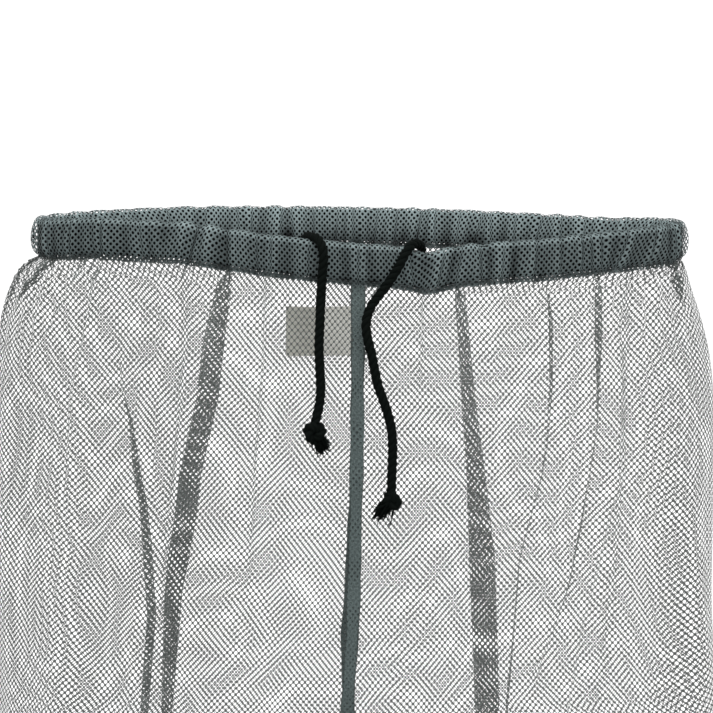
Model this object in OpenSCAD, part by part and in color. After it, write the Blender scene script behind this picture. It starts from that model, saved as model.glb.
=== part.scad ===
/* [Waist band] */
// Half of the waist band's width, side to side
waist_half_w = 190; // [180:1:200]
// Half of the waist band's depth, front to back
waist_half_d = 101; // [95:1:105]
// Height of the waist band
band_h = 22; // [20:1:26]
// Thickness of the gathered waist band
band_t = 9.6; // [9.6:0.1:11]
// How far the band's top edge dips at the centre front
front_dip = 7; // [5:1:10]
// Extra dip of the top edge beside the centre front, where the right cord comes over it
front_sag = 5; // [0:1:6]

/* [Net panels] */
// Wall given to the soft net shells
net_t = 2; // [1.6:0.1:2.2]
// Half of the hips' width, below the flare
hip_half_w = 214; // [212:1:220]
// Half of the hips' depth, below the flare
hip_half_d = 110; // [109:1:112]
// How fast the net flares out below the band
flare_len = 28; // [20:1:35]
// Depth of the crotch below the waist
rise = 366; // [340:1:380]
// Whole length, from the waist to the cuffs' lower edges
total_len = 1010; // [960:5:1060]

/* [Legs] */
// Half of a leg's width at the crotch
leg_half_w = 98; // [94:1:98]
// Half of a leg's depth at the crotch
leg_half_d = 83; // [78:1:84]
// Half of a leg's width just above the cuff's gathers
ankle_half_w = 68; // [60:1:75]
// Half of a leg's depth just above the cuff's gathers
ankle_half_d = 60; // [54:1:66]
// How far a leg's top reaches up inside the hips
leg_overlap = 44; // [36:1:46]

/* [Cuffs] */
// Half of an ankle cuff's width
cuff_half_w = 50; // [46:1:54]
// Half of an ankle cuff's depth
cuff_half_d = 44; // [40:1:48]
// Height of an ankle cuff
cuff_h = 25; // [22:1:28]
// Thickness of a gathered ankle cuff
cuff_t = 6; // [5.5:0.5:7]

/* [Elastic and seams] */
// Thickness of the woven elastic
elastic_t = 1.5; // [1:0.1:1.6]
// Width of the rise seams and inseams
seam_w = 7.6; // [6:0.1:7.8]
// Thickness of the seam allowances
seam_t = 3; // [2.4:0.1:3.2]

/* [Drawcord] */
// Diameter of the twisted drawcord
cord_d = 5.2; // [4.6:0.1:5.2]
// Diameter of an overhand knot
knot_d = 11.6; // [10.5:0.1:12]

/* [Care label] */
// Width of the care label
label_w = 43; // [36:1:46]
// Height of the care label
label_h = 30; // [24:1:34]

/* [Hidden] */

// Clearance between soft solids
gap = 0.3;
// Clearance between the net's top edge and the band's lower edge
hem_gap = 1;
ring_count = 60;
cut_y = 84;
exit_y = 88.2;
// Walls of the casing: its outer and inner layers of net
casing_out = 1.2;
casing_in = 0.8;
back_dip = 2;
crotch_z = -rise;
hinge_z = crotch_z + 18;
hip_end_z = crotch_z + 23;
leg_top_z = hinge_z + leg_overlap;
crotch_drop = 138;
pinch_w = 45;
// Power of the hips' outline at the band and at the crotch: 1 is an ellipse, less is squarer
outline_top = 1;
outline_low = 0.55;
square_len = 240;
cuff_top_z = cuff_h - total_len;
leg_x = leg_half_w + 10;
cuff_x = leg_x - 4;
gather_len = 14;
cord_r = cord_d / 2;
// Depth of the cord's centre below the band's outer face
cord_inset = casing_out + 2 * gap + elastic_t + cord_r;
exit_phi = 5.4;
exit_x = 34;
exit_z = [-20, -23.6];
sag_x = 38;
sag_w = 14;
exit_hole = cord_d + 2.4;
cord_end_phi = 12.3;
stitch_r = 0.6;
join_w = 24;
label_edge_x = -2;
label_set_in = 9.2;
fray_drop = 8;
cuff_join_w = 10;

// Routes of the drawcord's free ends, from the exits over the band's top edge to the knots
left_bridge_route = [
  [-38.3, -93.2, -20], [-36.4, -92.8, -20], [-34.4, -90.8, -20], [-33.6, -88, -19.6],
  [-33.3, -85.2, -17.6], [-33, -83.8, -14], [-32, -84.2, -8], [-30, -88, -3.6],
  [-27, -94, -3], [-23.5, -100, -3.5], [-21, -105, -7], [-20, -107, -13], [-20.5, -107, -20],
  [-21, -107.5, -27], [-21.3, -108, -32]
];
left_tail_route = [
  [-21.4, -108.2, -33.6], [-21.7, -109.5, -40], [-22, -111.5, -48], [-22.5, -113, -62],
  [-22, -114.4, -75], [-21.6, -115.2, -85], [-22.4, -116, -94], [-24.2, -116.8, -101.5]
];
right_bridge_route = [
  [38.3, -93.2, -23.6], [36.4, -92.8, -23.6], [34.4, -90.8, -23.6], [33.4, -88.2, -23.2],
  [33, -85.6, -21.2], [33.4, -84.4, -17.5], [33.8, -84.4, -13], [33.6, -86.6, -9.4],
  [32.4, -91, -7.4], [30, -96.8, -6.6], [27.4, -102.6, -7.8], [24.4, -106, -12],
  [21.6, -107.4, -17.4], [18.6, -107.6, -22.4], [15.4, -107.8, -27.2], [12.6, -108, -31.2]
];
right_tail_route = [
  [11.5, -108.3, -32.5], [6, -110, -40], [3.4, -111.6, -48], [3.8, -112.8, -56],
  [6.5, -113.8, -67], [9.5, -114.4, -82], [14, -115, -95], [17, -115.4, -106],
  [17.8, -115.8, -117], [17.5, -116.4, -128], [17.2, -117, -139]
];
left_knot_at = [-25, -118, -108.5];
right_knot_at = [17.2, -118, -146.5];

function ease(t) = t <= 0 ? 0 : t >= 1 ? 1 : t * t * (3 - 2 * t);
function mix(a, b, t) = a + (b - a) * t;
// Top edge's height at an angle round the waist: 0 at the front, 90 at the +X side, 180 at the back
function rim_z(phi) = cos(phi) > 0
  ? -front_dip * pow(cos(phi), 2) - front_sag * exp(-pow((waist_half_w * sin(phi) - sag_x) / sag_w, 2))
  : -back_dip * pow(cos(phi), 2);
function oval(a, b, phi, z) = [a * sin(phi), -b * cos(phi), z];
function flare(d) = 1 - exp(-max(d, 0) / flare_len);

// The net's half depth at the centre line, which turns in to the crotch
function centre_d(z, b) =
  let (s = (crotch_z + crotch_drop - z) / crotch_drop)
  s <= 0 ? b : b * sqrt(max(0, 1 - s * s));

// A point of the hips at an angle and a depth below the band, set in by a distance
function hip_point(phi, z, inset) =
  let (
    d = rim_z(phi) - band_h - z,
    a = mix(waist_half_w, hip_half_w, flare(d)) - inset,
    b = mix(waist_half_d, hip_half_d, flare(d)) - inset,
    x = a * sin(phi),
    pinch = (1 - centre_d(z, b) / b) * exp(-pow(x / pinch_w, 2)),
    power = mix(outline_top, outline_low, ease(d / square_len)),
    along = sign(cos(phi)) * pow(abs(cos(phi)), power)
  )
  [x, -b * (1 - pinch) * along, z];

// Half width or depth of a leg at a height
function leg_half(z, top, low, cuff) =
  let (
    t = min(1, max(0, (hinge_z - z) / (hinge_z - cuff_top_z))),
    g = exp(-max(0, z - cuff_top_z) / gather_len)
  )
  mix(mix(top, low, t), cuff, g);
function leg_centre_x(z) =
  mix(leg_x, cuff_x, min(1, max(0, (hinge_z - z) / (hinge_z - cuff_top_z))));

// A closed shell between an outer and an inner grid of points
module shell(outer, inner, closed) {
  rows = len(outer);
  cols = len(outer[0]);
  n = rows * cols;
  steps = closed ? cols : cols - 1;
  points = concat([for (r = outer) each r], [for (r = inner) each r]);
  faces = concat(
    [for (i = [0:rows - 2], j = [0:steps - 1])
      let (a = i * cols + j, b = i * cols + (j + 1) % cols, c = b + cols, d = a + cols)
      each [[a, c, b], [a, d, c], [n + a, n + b, n + c], [n + a, n + c, n + d]]],
    [for (j = [0:steps - 1])
      let (a = j, b = (j + 1) % cols, c = n - cols + j, d = n - cols + (j + 1) % cols)
      each [[a, b, n + b], [a, n + b, n + a], [c, n + d, d], [c, n + c, n + d]]],
    closed ? [] : [for (i = [0:rows - 2])
      let (a = i * cols, b = a + cols, c = a + cols - 1, d = b + cols - 1)
      each [[a, n + a, n + b], [a, n + b, b], [c, d, n + d], [c, n + d, n + c]]]
  );
  polyhedron(points = points, faces = faces, convexity = 6);
}

// A ring of the waist band between two insets and two depths below the rim
module waist_ring(inset_out, inset_in, top, low, count) {
  step = 360 / count;
  function row(inset, drop) = [for (i = [0:count - 1])
    oval(waist_half_w - inset, waist_half_d - inset, -i * step, rim_z(-i * step) - drop)];
  shell([row(inset_out, top), row(inset_out, low)], [row(inset_in, top), row(inset_in, low)], true);
}

// A tube of round rings along a route
module swept_tube(route, r, sides) {
  last = len(route) - 1;
  function unit(v) = v / norm(v);
  function tangent(i) = unit(route[min(i + 1, last)] - route[max(i - 1, 0)]);
  rings = [for (i = [0:last])
    let (t = tangent(i), u = unit(cross(t, abs(t[0]) > 0.9 ? [0, 0, 1] : [1, 0, 0])), v = cross(t, u))
    [for (k = [0:sides - 1]) route[i] + r * (cos(k * 360 / sides) * u + sin(k * 360 / sides) * v)]];
  points = [for (ring = rings) each ring];
  faces = concat(
    [[for (k = [0:sides - 1]) k]],
    [[for (k = [0:sides - 1]) last * sides + sides - 1 - k]],
    [for (i = [0:last - 1], k = [0:sides - 1])
      let (a = i * sides + k, b = i * sides + (k + 1) % sides)
      each [[a, a + sides, b + sides], [a, b + sides, b]]]
  );
  polyhedron(points = points, faces = faces, convexity = 8);
}

// A strip along a line of [y, z] points at x = 0, with its thickness towards the inside
module centre_strip(outer_line, inner_line) {
  half = seam_w / 2;
  shell(
    [for (p = outer_line) [[half, p[0], p[1]], [-half, p[0], p[1]]]],
    [for (p = inner_line) [[half, p[0], p[1]], [-half, p[0], p[1]]]],
    false
  );
}

// The side of a piece that is mirrored: 1 for the +X side and -1 for the -X side
module side(s) {
  mirror([s < 0 ? 1 : 0, 0, 0]) children();
}

module waist_casing() color("dimgray") {
  difference() {
    waist_ring(0, band_t, 0, band_h, ring_count);
    waist_ring(casing_out, band_t - casing_in, casing_out, band_h - casing_out, ring_count);
    for (s = [-1, 1])
      translate([s * exit_x, -cut_y, exit_z[(s + 1) / 2]])
        rotate([90, 0, 0])
          cylinder(d = exit_hole, h = 10, $fn = 24);
  }
}

module waist_elastic() color("black") {
  waist_ring(casing_out + gap, casing_out + gap + elastic_t, 1.8, band_h - 1.8, ring_count);
}

// The overlapped end of the elastic, sewn flat on its inner face at the centre front
module elastic_join() color("black") {
  y = waist_half_d - casing_out - gap - elastic_t;
  translate([-join_w / 2, -y + 0.35, -front_dip - band_h + 4])
    cube([join_w, elastic_t, band_h - 8]);
}

module waist_drawcord() color("black") {
  a = waist_half_w - cord_inset;
  b = waist_half_d - cord_inset;
  z = band_h / 2 + 1.4;
  turn = [for (i = [0:66]) mix(cord_end_phi, 360 - cord_end_phi, i / 66)];
  swept_tube([for (phi = turn) oval(a, b, phi, rim_z(phi) - z)], cord_r, 8);
}

// The lock stitch that closes the casing's lower edge
module waist_stitching() color("dimgray") {
  waist_ring(-stitch_r - 0.1, -0.1, band_h - 2.2, band_h - 1, ring_count);
}

// A bound buttonhole on the casing's inner face
module cord_exit(s) color("black") {
  translate([s * exit_x, -exit_y, exit_z[(s + 1) / 2]])
    rotate([90, 0, s * exit_phi])
      difference() {
        cylinder(d = exit_hole + 4, h = 1, $fn = 32);
        translate([0, 0, -1])
          cylinder(d = exit_hole, h = 3, $fn = 32);
      }
}

module knot(at) color("black") {
  translate(at)
    rotate_extrude($fn = 32)
      polygon([[0, -6], [2.6, -6], [4.6, -5], [knot_d / 2, -2.6], [knot_d / 2 - 0.4, 0],
        [knot_d / 2, 2.6], [4.6, 5], [2.6, 6], [0, 6]]);
}

// The unravelled strands past a knot
module frayed_end(at, turn) color("black") {
  translate(at - [0, 0, fray_drop])
    rotate([180, turn, 0])
      cylinder(r1 = 2.2, r2 = 4.4, h = 9, $fn = 24);
}

module hip_panel(s) {
  last = ring_count / 2;
  // Columns at the band's own angles, so the hem keeps its gap below the band all the way round
  phis = [for (i = [0:last]) min(max(i * 180 / last, 1.25), 178.75)];
  depths = [0, 0.03, 0.07, 0.13, 0.22, 0.36, 0.52, 0.66, 0.77, 0.86, 0.93, 1];
  function at(phi, v, inset) =
    hip_point(phi, mix(rim_z(phi) - band_h - hem_gap, hip_end_z, v), inset);
  color("darkgray")
    side(s)
      shell(
        [for (v = depths) [for (i = [last:-1:0]) at(phis[i], v, 0)]],
        [for (v = depths) [for (i = [last:-1:0]) at(phis[i], v, net_t)]],
        false
      );
}

// Half of the rise seam, from the band down and round to the crotch
module rise_seam(front) {
  phi = front ? 0 : 180;
  top = rim_z(phi) - band_h - hem_gap;
  straight = [for (v = [0, 0.06, 0.14, 0.28, 0.5, 0.75]) mix(top, crotch_z + crotch_drop, v)];
  turns = [for (a = [0:9:81]) a];
  function half_d(z) = mix(waist_half_d, hip_half_d, flare(top - z));
  function line(off) = concat(
    [for (z = straight) [-half_d(z) - off, z]],
    [for (a = turns) [-(hip_half_d + off) * cos(a), crotch_z + crotch_drop - (crotch_drop + off) * sin(a)]],
    [[-2.6, crotch_z - off]]
  );
  color("dimgray")
    mirror([0, front ? 0 : 1, 0])
      centre_strip(line(0.6), line(0.6 - seam_t));
}

// The dense stitch that closes the four seams' meeting point
module crotch_bar_tack() color("dimgray") {
  translate([-seam_w / 2, -2.2, crotch_z - 1])
    cube([seam_w, 4.4, seam_t]);
}

// A woven label, sewn by its edge inside the centre-back seam
module care_label() color("tan") {
  translate([label_edge_x - label_w, hip_half_d - label_set_in, -91])
    cube([label_w, 0.8, label_h]);
}

module leg_panel(s) {
  levels = [for (i = [0:13]) i < 2 ? mix(leg_top_z, hinge_z, i)
    : i < 10 ? mix(hinge_z, cuff_top_z + 60, (i - 1) / 8)
    : cuff_top_z + gap + 60 * pow(1 - (i - 9) / 4, 2)];
  seam_turn = 4;
  turns = [for (i = [0:32]) mix(seam_turn, 360 - seam_turn, i / 32)];
  function at(z, turn, inset) = [
    leg_centre_x(z) - (leg_half(z, leg_half_w, ankle_half_w, cuff_half_w) - inset) * cos(turn),
    -(leg_half(z, leg_half_d, ankle_half_d, cuff_half_d) - inset) * sin(turn), z];
  color("darkgray")
    side(s)
      shell(
        [for (z = levels) [for (turn = turns) at(z, turn, 0)]],
        [for (z = levels) [for (turn = turns) at(z, turn, net_t)]],
        false
      );
}

// The seam down the inside of a leg, from the crotch to the cuff
module inseam(s) {
  half = 3;
  levels = [for (i = [0:12]) i < 1 ? leg_top_z
    : i < 9 ? mix(hinge_z, cuff_top_z + 60, (i - 1) / 8)
    : cuff_top_z + gap + 60 * pow(1 - (i - 9) / 3, 2)];
  function at(z, y, inset) =
    [leg_centre_x(z) - leg_half(z, leg_half_w, ankle_half_w, cuff_half_w) - 0.5 + inset, y, z];
  color("dimgray")
    side(s)
      shell(
        [for (z = levels) [at(z, half, 0), at(z, -half, 0)]],
        [for (z = levels) [at(z, half, seam_t), at(z, -half, seam_t)]],
        false
      );
}

// An upright oval band, between two insets from the cuff's outer face
module cuff_ring(inset_out, inset_in, low, high) {
  count = 48;
  function outline(inset) = [for (i = [0:count - 1])
    [(cuff_half_w - inset) * cos(i * 360 / count), (cuff_half_d - inset) * sin(i * 360 / count)]];
  translate([cuff_x, 0, low])
    linear_extrude(high - low)
      difference() {
        polygon(outline(inset_out));
        polygon(outline(inset_in));
      }
}

module cuff_casing(s) color("dimgray") {
  low = cuff_top_z - cuff_h;
  side(s)
    difference() {
      cuff_ring(0, cuff_t, low, cuff_top_z);
      cuff_ring(casing_out, cuff_t - casing_in, low + casing_out, cuff_top_z - casing_out);
    }
}

module cuff_elastic(s) color("black") {
  low = cuff_top_z - cuff_h;
  side(s)
    cuff_ring(casing_out + gap, casing_out + gap + elastic_t, low + 2, cuff_top_z - 2);
}

module cuff_elastic_join(s) color("black") {
  depth = cuff_half_w - casing_out - 2 * gap - elastic_t - 0.4;
  side(s)
    translate([cuff_x - depth, -cuff_join_w / 2, cuff_top_z - cuff_h + 4])
      cube([1.2, cuff_join_w, cuff_h - 8]);
}

module cuff_stitching(s) color("dimgray") {
  side(s)
    cuff_ring(-stitch_r - 0.1, -0.1, cuff_top_z - 2.2, cuff_top_z - 1);
}

waist_casing();
waist_elastic();
elastic_join();
waist_drawcord();
waist_stitching();
cord_exit(-1);  // left_cord_exit
cord_exit(1);  // right_cord_exit
color("black") swept_tube(left_bridge_route, cord_r, 10);  // left_cord_bridge
color("black") swept_tube(right_bridge_route, cord_r, 10);  // right_cord_bridge
color("black") swept_tube(left_tail_route, cord_r, 10);  // left_cord_tail
color("black") swept_tube(right_tail_route, cord_r, 10);  // right_cord_tail
knot(left_knot_at);  // left_knot
knot(right_knot_at);  // right_knot
frayed_end(left_knot_at, -35);  // left_frayed_end
frayed_end(right_knot_at, 45);  // right_frayed_end
hip_panel(-1);  // left_hip_panel
hip_panel(1);  // right_hip_panel
rise_seam(true);  // front_rise_seam
rise_seam(false);  // back_rise_seam
crotch_bar_tack();
care_label();
leg_panel(-1);  // left_leg_panel
leg_panel(1);  // right_leg_panel
inseam(-1);  // left_inseam
inseam(1);  // right_inseam
cuff_casing(-1);  // left_cuff_casing
cuff_casing(1);  // right_cuff_casing
cuff_elastic(-1);  // left_cuff_elastic
cuff_elastic(1);  // right_cuff_elastic
cuff_elastic_join(-1);  // left_cuff_elastic_join
cuff_elastic_join(1);  // right_cuff_elastic_join
cuff_stitching(-1);  // left_cuff_stitching
cuff_stitching(1);  // right_cuff_stitching
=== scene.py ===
"""Net over-trousers for beekeeping: gathered waist with drawcord, rise seams, legs and cuffs."""

import math
import random

import bmesh
import bpy
import numpy as np
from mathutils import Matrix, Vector


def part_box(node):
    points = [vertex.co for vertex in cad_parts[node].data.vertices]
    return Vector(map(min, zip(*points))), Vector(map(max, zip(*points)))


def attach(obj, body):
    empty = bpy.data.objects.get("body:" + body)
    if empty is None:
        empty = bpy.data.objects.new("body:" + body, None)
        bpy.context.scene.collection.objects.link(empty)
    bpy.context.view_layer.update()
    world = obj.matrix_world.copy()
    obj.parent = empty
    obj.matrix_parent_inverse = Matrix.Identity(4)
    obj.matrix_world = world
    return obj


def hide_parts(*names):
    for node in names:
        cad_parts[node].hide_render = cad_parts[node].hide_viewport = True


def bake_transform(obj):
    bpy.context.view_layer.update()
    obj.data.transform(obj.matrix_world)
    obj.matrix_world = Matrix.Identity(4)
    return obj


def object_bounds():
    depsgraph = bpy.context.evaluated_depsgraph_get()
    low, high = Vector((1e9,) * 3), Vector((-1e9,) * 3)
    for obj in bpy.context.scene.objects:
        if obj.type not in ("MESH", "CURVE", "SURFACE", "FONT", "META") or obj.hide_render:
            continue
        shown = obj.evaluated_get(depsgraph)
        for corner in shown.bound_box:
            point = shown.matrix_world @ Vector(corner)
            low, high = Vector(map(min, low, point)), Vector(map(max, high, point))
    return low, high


bl_info = {
    "name": "Net over-trousers",
    "version": (1, 0, 0),
    "blender": (4, 5, 0),
    "location": "3D View > Sidebar > Trousers",
    "description": "Builds net over-trousers with a drawcord waist round the packed frame",
    "category": "Object",
}

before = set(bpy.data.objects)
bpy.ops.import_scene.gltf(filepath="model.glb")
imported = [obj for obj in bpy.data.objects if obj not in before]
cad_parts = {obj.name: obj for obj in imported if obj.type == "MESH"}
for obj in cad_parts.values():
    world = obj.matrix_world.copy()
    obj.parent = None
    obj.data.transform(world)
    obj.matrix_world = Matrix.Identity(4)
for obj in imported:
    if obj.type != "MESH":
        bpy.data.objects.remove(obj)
CAD_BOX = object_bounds()
MM = 0.001
SIDES = {"left": -1, "right": 1}
LOW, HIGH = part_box("waist_casing")
CUFF_LOW, CUFF_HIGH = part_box("right_cuff_casing")
TACK_LOW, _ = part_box("crotch_bar_tack")
LABEL_LOW, LABEL_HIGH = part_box("care_label")


# Largest start of a wave, about a full turn
PHASE = 6.28
# From a casing's widest outline in to the middle of its wall, across and in depth, in millimetres
MIDDLE_IN = (6.2, 4.8)
# How much closer the net's holes lie in the gathered bands, across and down
BAND_PITCH = (0.99, 0.92)
# How far a casing's wall may sink in its puckers, outside and inside, in millimetres
SINK_OUTSIDE, SINK_INSIDE = 0.6, 0.3
# How far inside the band's outer face the net hangs, and how far it falls to reach the hips' depth
NET_IN, HIP_FALL = 5.6, 26
# How square the hips' outline grows, and over what height
SQUARENESS, SQUARE_OVER = 0.36, 300
# Height over which the net turns in to the crotch
TURN_IN_OVER = 138
# Half widths and depths of a leg at its top, how much each shrinks to the ankle, and how the taper bends
LEG_W, LEG_D, LEG_W_LESS, LEG_D_LESS, TAPER = 104, 101, 32, 33, 0.8
# Where a leg's top is centred, how far above a cuff it gathers, and how far inside the cuff's face it goes
LEG_X, GATHER_OVER, CUFF_IN = 107, 16, 3
# Widths of the elastic, and the part of the label that is folded back
ELASTIC_W, CUFF_ELASTIC_W, LABEL_FOLD = 0.0194, 0.0205, 0.018
# Length of a lock stitch and the gap to the next
STITCH, STITCH_GAP = 0.0024, 0.0008


# ---------------------------------------------------------------- sizes and colours


def size(name, description, default):
    return bpy.props.FloatProperty(
        name=name, description=description, default=default, precision=4, subtype="DISTANCE", unit="LENGTH"
    )


def colour(name, description, default):
    return bpy.props.FloatVectorProperty(
        name=name, description=description, default=default, size=4, min=0, max=1, subtype="COLOR"
    )


class TROUSERS_PG_cut(bpy.types.PropertyGroup):
    """Sizes of the garment's cut, in metres"""

    waist_half_w: size("Waist half width", "Half of the waistband's width", (HIGH.x - LOW.x) / 2)
    waist_half_d: size("Waist half depth", "Half of the waistband's depth", (HIGH.y - LOW.y) / 2)
    band_h: size("Band height", "Height of the waistband", 0.022)
    crotch_z: size("Crotch height", "Height of the crotch, below the waist", TACK_LOW.z)
    cuff_top_z: size("Cuff top", "Height of the ankle cuffs' upper edges", CUFF_HIGH.z)
    cuff_x: size("Cuff centre", "How far a cuff's centre is from the middle", (CUFF_LOW.x + CUFF_HIGH.x) / 2)
    cuff_half_w: size("Cuff half width", "Half of a cuff's width", (CUFF_HIGH.x - CUFF_LOW.x) / 2)
    cuff_half_d: size("Cuff half depth", "Half of a cuff's depth", (CUFF_HIGH.y - CUFF_LOW.y) / 2)
    hip_half_d: size("Hip half depth", "Half of the hips' depth", 0.109)
    seam_w: size("Seam width", "Width of the seam allowances", 0.0073)


class TROUSERS_PG_net(bpy.types.PropertyGroup):
    """Sizes and colours of the knitted net"""

    pitch_across: size("Pitch across", "Distance between holes in a row", 0.00307)
    pitch_down: size("Pitch down", "Distance between rows of the same phase", 0.00390)
    hole_across: size("Hole width", "Width of a hole in the open net", 0.00212)
    hole_down: size("Hole height", "Height of a hole in the open net", 0.00274)
    closed_across: size("Closed hole width", "Width of a hole in the gathered bands", 0.00127)
    closed_down: size("Closed hole height", "Height of a hole in the gathered bands", 0.00158)
    yarn: colour("Yarn", "Colour of the net's yarn", (0.126, 0.142, 0.136, 1))
    band_yarn: colour("Band yarn", "Colour of the net round the bands", (0.134, 0.167, 0.169, 1))
    seam_yarn: colour("Seam yarn", "Colour of the sewn layers of net", (0.122, 0.156, 0.154, 1))


class TROUSERS_PG_trim(bpy.types.PropertyGroup):
    """Sizes and colours of the cord, elastic and label"""

    cord_d: size("Cord diameter", "Diameter of the drawcord", 0.0052)
    cord_pitch: size("Cord twist", "Length of one full twist of the drawcord", 0.0125)
    cord: colour("Cord", "Colour of the drawcord", (0.0018, 0.0036, 0.0028, 1))
    elastic: colour("Elastic", "Colour of the elastic", (0.0006, 0.0011, 0.0011, 1))
    label: colour("Label", "Colour of the care label", (0.52, 0.52, 0.47, 1))
    thread: colour("Thread", "Colour of the sewing thread", (0.060, 0.078, 0.078, 1))


class TROUSERS_PG_stage(bpy.types.PropertyGroup):
    """Camera and light"""

    distance: size("Distance", "Distance from the camera to the garment", 2.0)
    elevation: bpy.props.FloatProperty(
        name="Elevation", description="Angle that the camera looks down at",
        default=math.radians(6.5), subtype="ANGLE", unit="ROTATION"
    )
    lens: bpy.props.FloatProperty(name="Lens", description="Focal length in millimetres", default=174.0)
    aim_x: size("Aim across", "Where the camera looks, side to side", -0.002)
    aim_z: size("Aim height", "Where the camera looks, up and down", -0.080)


# ---------------------------------------------------------------- the cloth's shape

# Height of the waistband's top edge at places across it, front and back, in millimetres
RIM_FRONT = [(-190, 0.5), (-150, 5), (-100, 4.4), (-60, -0.5), (-30, -4), (0, -6.6), (16, -7.6), (27, -9.4),
             (36, -11.4), (42, -11), (48, -9), (60, -7.2), (82, -6), (105, -5.2), (121, -3.6), (143, -2.4),
             (165, -1.2), (190, -0.6)]
RIM_BACK = [(-190, 0.5), (-100, 1.2), (-30, 0.4), (0, -0.2), (60, -1.4), (100, -2.8), (150, -4), (190, -1)]

# Folds that hang in the net: how wide, how deep, and [height, distance from the middle, how folded]
FRONT_FOLDS = {
    "left": [
        (12.5, 2.2, [(-22, 72, 0.6), (-32, 75, 0.85), (-48, 78, 0.95), (-62, 80.5, 1), (-92, 84, 1),
                     (-136, 94.5, 1), (-158, 97, 1), (-180, 101, 1), (-202, 104.5, 0.9), (-265, 108, 0.78),
                     (-330, 112, 0.3), (-400, 110, 0)]),
        (5.5, 1.6, [(-60, 132, 0), (-89, 133, 0.4), (-107, 128, 0.7), (-136, 124.5, 0.9), (-153, 120.6, 0.9),
                    (-180, 118, 1), (-213, 115.5, 1), (-265, 120, 1), (-330, 124, 0.3), (-380, 126, 0)]),
        (6, 0.5, [(-19, 141, 0.35), (-33, 149, 0.4), (-52, 152, 0.4), (-73, 157, 0.4), (-89, 161, 0.35),
                  (-114, 163, 0.3), (-150, 165, 0)]),
        (4.5, 0.5, [(-19, 152, 0.3), (-26, 156, 0.4), (-48, 169, 0.4), (-63, 178, 0.4), (-77, 186, 0)]),
        (9, 1.8, [(-17, 172, 0.8), (-24, 178, 0.95), (-33, 186, 0.95), (-42, 194, 0.6), (-52, 198, 0),
                  (-300, 198, 0)]),
    ],
    "right": [
        (15.5, 2.4, [(-22, 54, 0.55), (-30, 55, 0.7), (-93, 60, 0.76), (-131, 64, 0.85), (-181, 68, 1),
                     (-265, 71, 0.98), (-330, 72, 0.4), (-400, 74, 0)]),
        (5, 1.4, [(-24, 101, 0), (-32, 104, 0.6), (-45, 105.5, 0.72), (-85, 105.5, 0.72), (-117, 103, 0.6),
                  (-136, 100, 0.55), (-181, 88, 0.55), (-265, 82, 0.7), (-320, 84, 0)]),
        (6.5, 1.6, [(-20, 133, 0.75), (-62, 133, 0.8), (-85, 133, 0.62), (-109, 133, 0.5), (-136, 129, 0.5),
                    (-165, 124, 0.55), (-198, 117, 0.5), (-225, 107, 0.45), (-241, 100, 0.3), (-260, 94, 0)]),
        (4.5, 0.8, [(-20, 152, 0.2), (-45, 145, 0.35), (-77, 146, 0.35), (-113, 147, 0.35), (-136, 148, 0.45),
                    (-159, 140, 0.45), (-191, 133, 0.45), (-221, 125, 0.45), (-260, 118, 0.4), (-300, 112, 0)]),
        (7, 1.8, [(-18, 177, 0.8), (-28, 180, 0.95), (-37, 182, 0.6), (-48, 184, 0), (-300, 186, 0)]),
    ],
}
BACK_FOLDS = {
    "left": [
        (5, 1.2, [(-22, 57, 0.4), (-90, 59, 0.45), (-180, 66, 0.3), (-260, 70, 0)]),
        (7, 1.2, [(-22, 106, 0.3), (-80, 106, 0.3), (-200, 118, 0.25), (-330, 130, 0)]),
    ],
    "right": [
        (5, 1.2, [(-22, 40, 0.4), (-70, 38, 0.4), (-130, 36, 0)]),
        (7, 1.2, [(-22, 160, 0.3), (-120, 160, 0.3), (-260, 150, 0.25), (-340, 140, 0)]),
    ],
}
# Puckers of the waistband: place across it, width of the tuck, how far it leans
FRONT_PUCKERS = [(-174, 3.2, 0), (-161, 3.4, 0.5), (-143, 3.8, 0), (-120, 2.6, -0.8), (-91, 5.3, 2.6),
                 (-72, 2.8, 0), (-56, 3.6, -0.4), (-48.6, 4.6, 0.3), (-28, 2.6, 0.5), (-1, 3.4, 0.3),
                 (28, 2.6, -1.5), (44, 3.6, 2.5), (54, 3.2, 2.0), (66, 4.9, -0.4), (78, 3.4, 1.0),
                 (96, 3.0, 1.2), (110, 2.8, 0.5), (122, 5.4, 0.2), (127.5, 4.4, -0.3), (133, 3.4, 0),
                 (145, 4.2, 4.5), (163, 3.6, 3.0), (176, 3.0, 0)]
BACK_PUCKERS = [(-170, 3.4, 1), (-142, 3.0, 0), (-114, 3.6, -2), (-94, 3.4, 1), (-74, 4.2, 0), (-66, 3.8, 1),
                (-48, 4.3, 1.2), (-41, 3.6, -0.5), (-28, 3.2, 0), (-14, 3.2, 1), (-4, 3.6, 0), (10, 3.2, 1),
                (22, 3.4, 1), (36, 4.1, 1.5), (46, 3.6, 0), (60, 3.2, 1), (72, 4.1, 2.5), (80, 3.9, -1),
                (94, 3.2, 0), (108, 3.8, 2), (122, 3.2, -1), (136, 3.9, -1.5), (158, 3.4, 0), (173, 3.4, 0)]
# Centre lines of the seams, [height, place across], in millimetres
FRONT_SEAM = [(-20, -1), (-100, -1.4), (-180, -2.8), (-222, -4.4), (-265, -7.2), (-320, -6), (-366, 0)]
BACK_SEAM = [(-20, -1.5), (-100, -1.5), (-180, -2.8), (-222, -5), (-265, -8), (-320, -6), (-366, 0)]


def ease(t):
    t = np.clip(t, 0, 1)
    return t * t * (3 - 2 * t)


def along(points, place, column=1):
    """A value of a list of points at a place, straight between them, in their own units."""
    table = sorted(points)
    return np.interp(place, [p[0] for p in table], [p[column] for p in table])


def blurred(values, passes):
    """A row of values with its corners rounded and its ends kept."""
    out = np.array(values, float)
    for _ in range(passes):
        out[1:-1] = (out[:-2] + 2 * out[1:-1] + out[2:]) / 4
    return out


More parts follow.
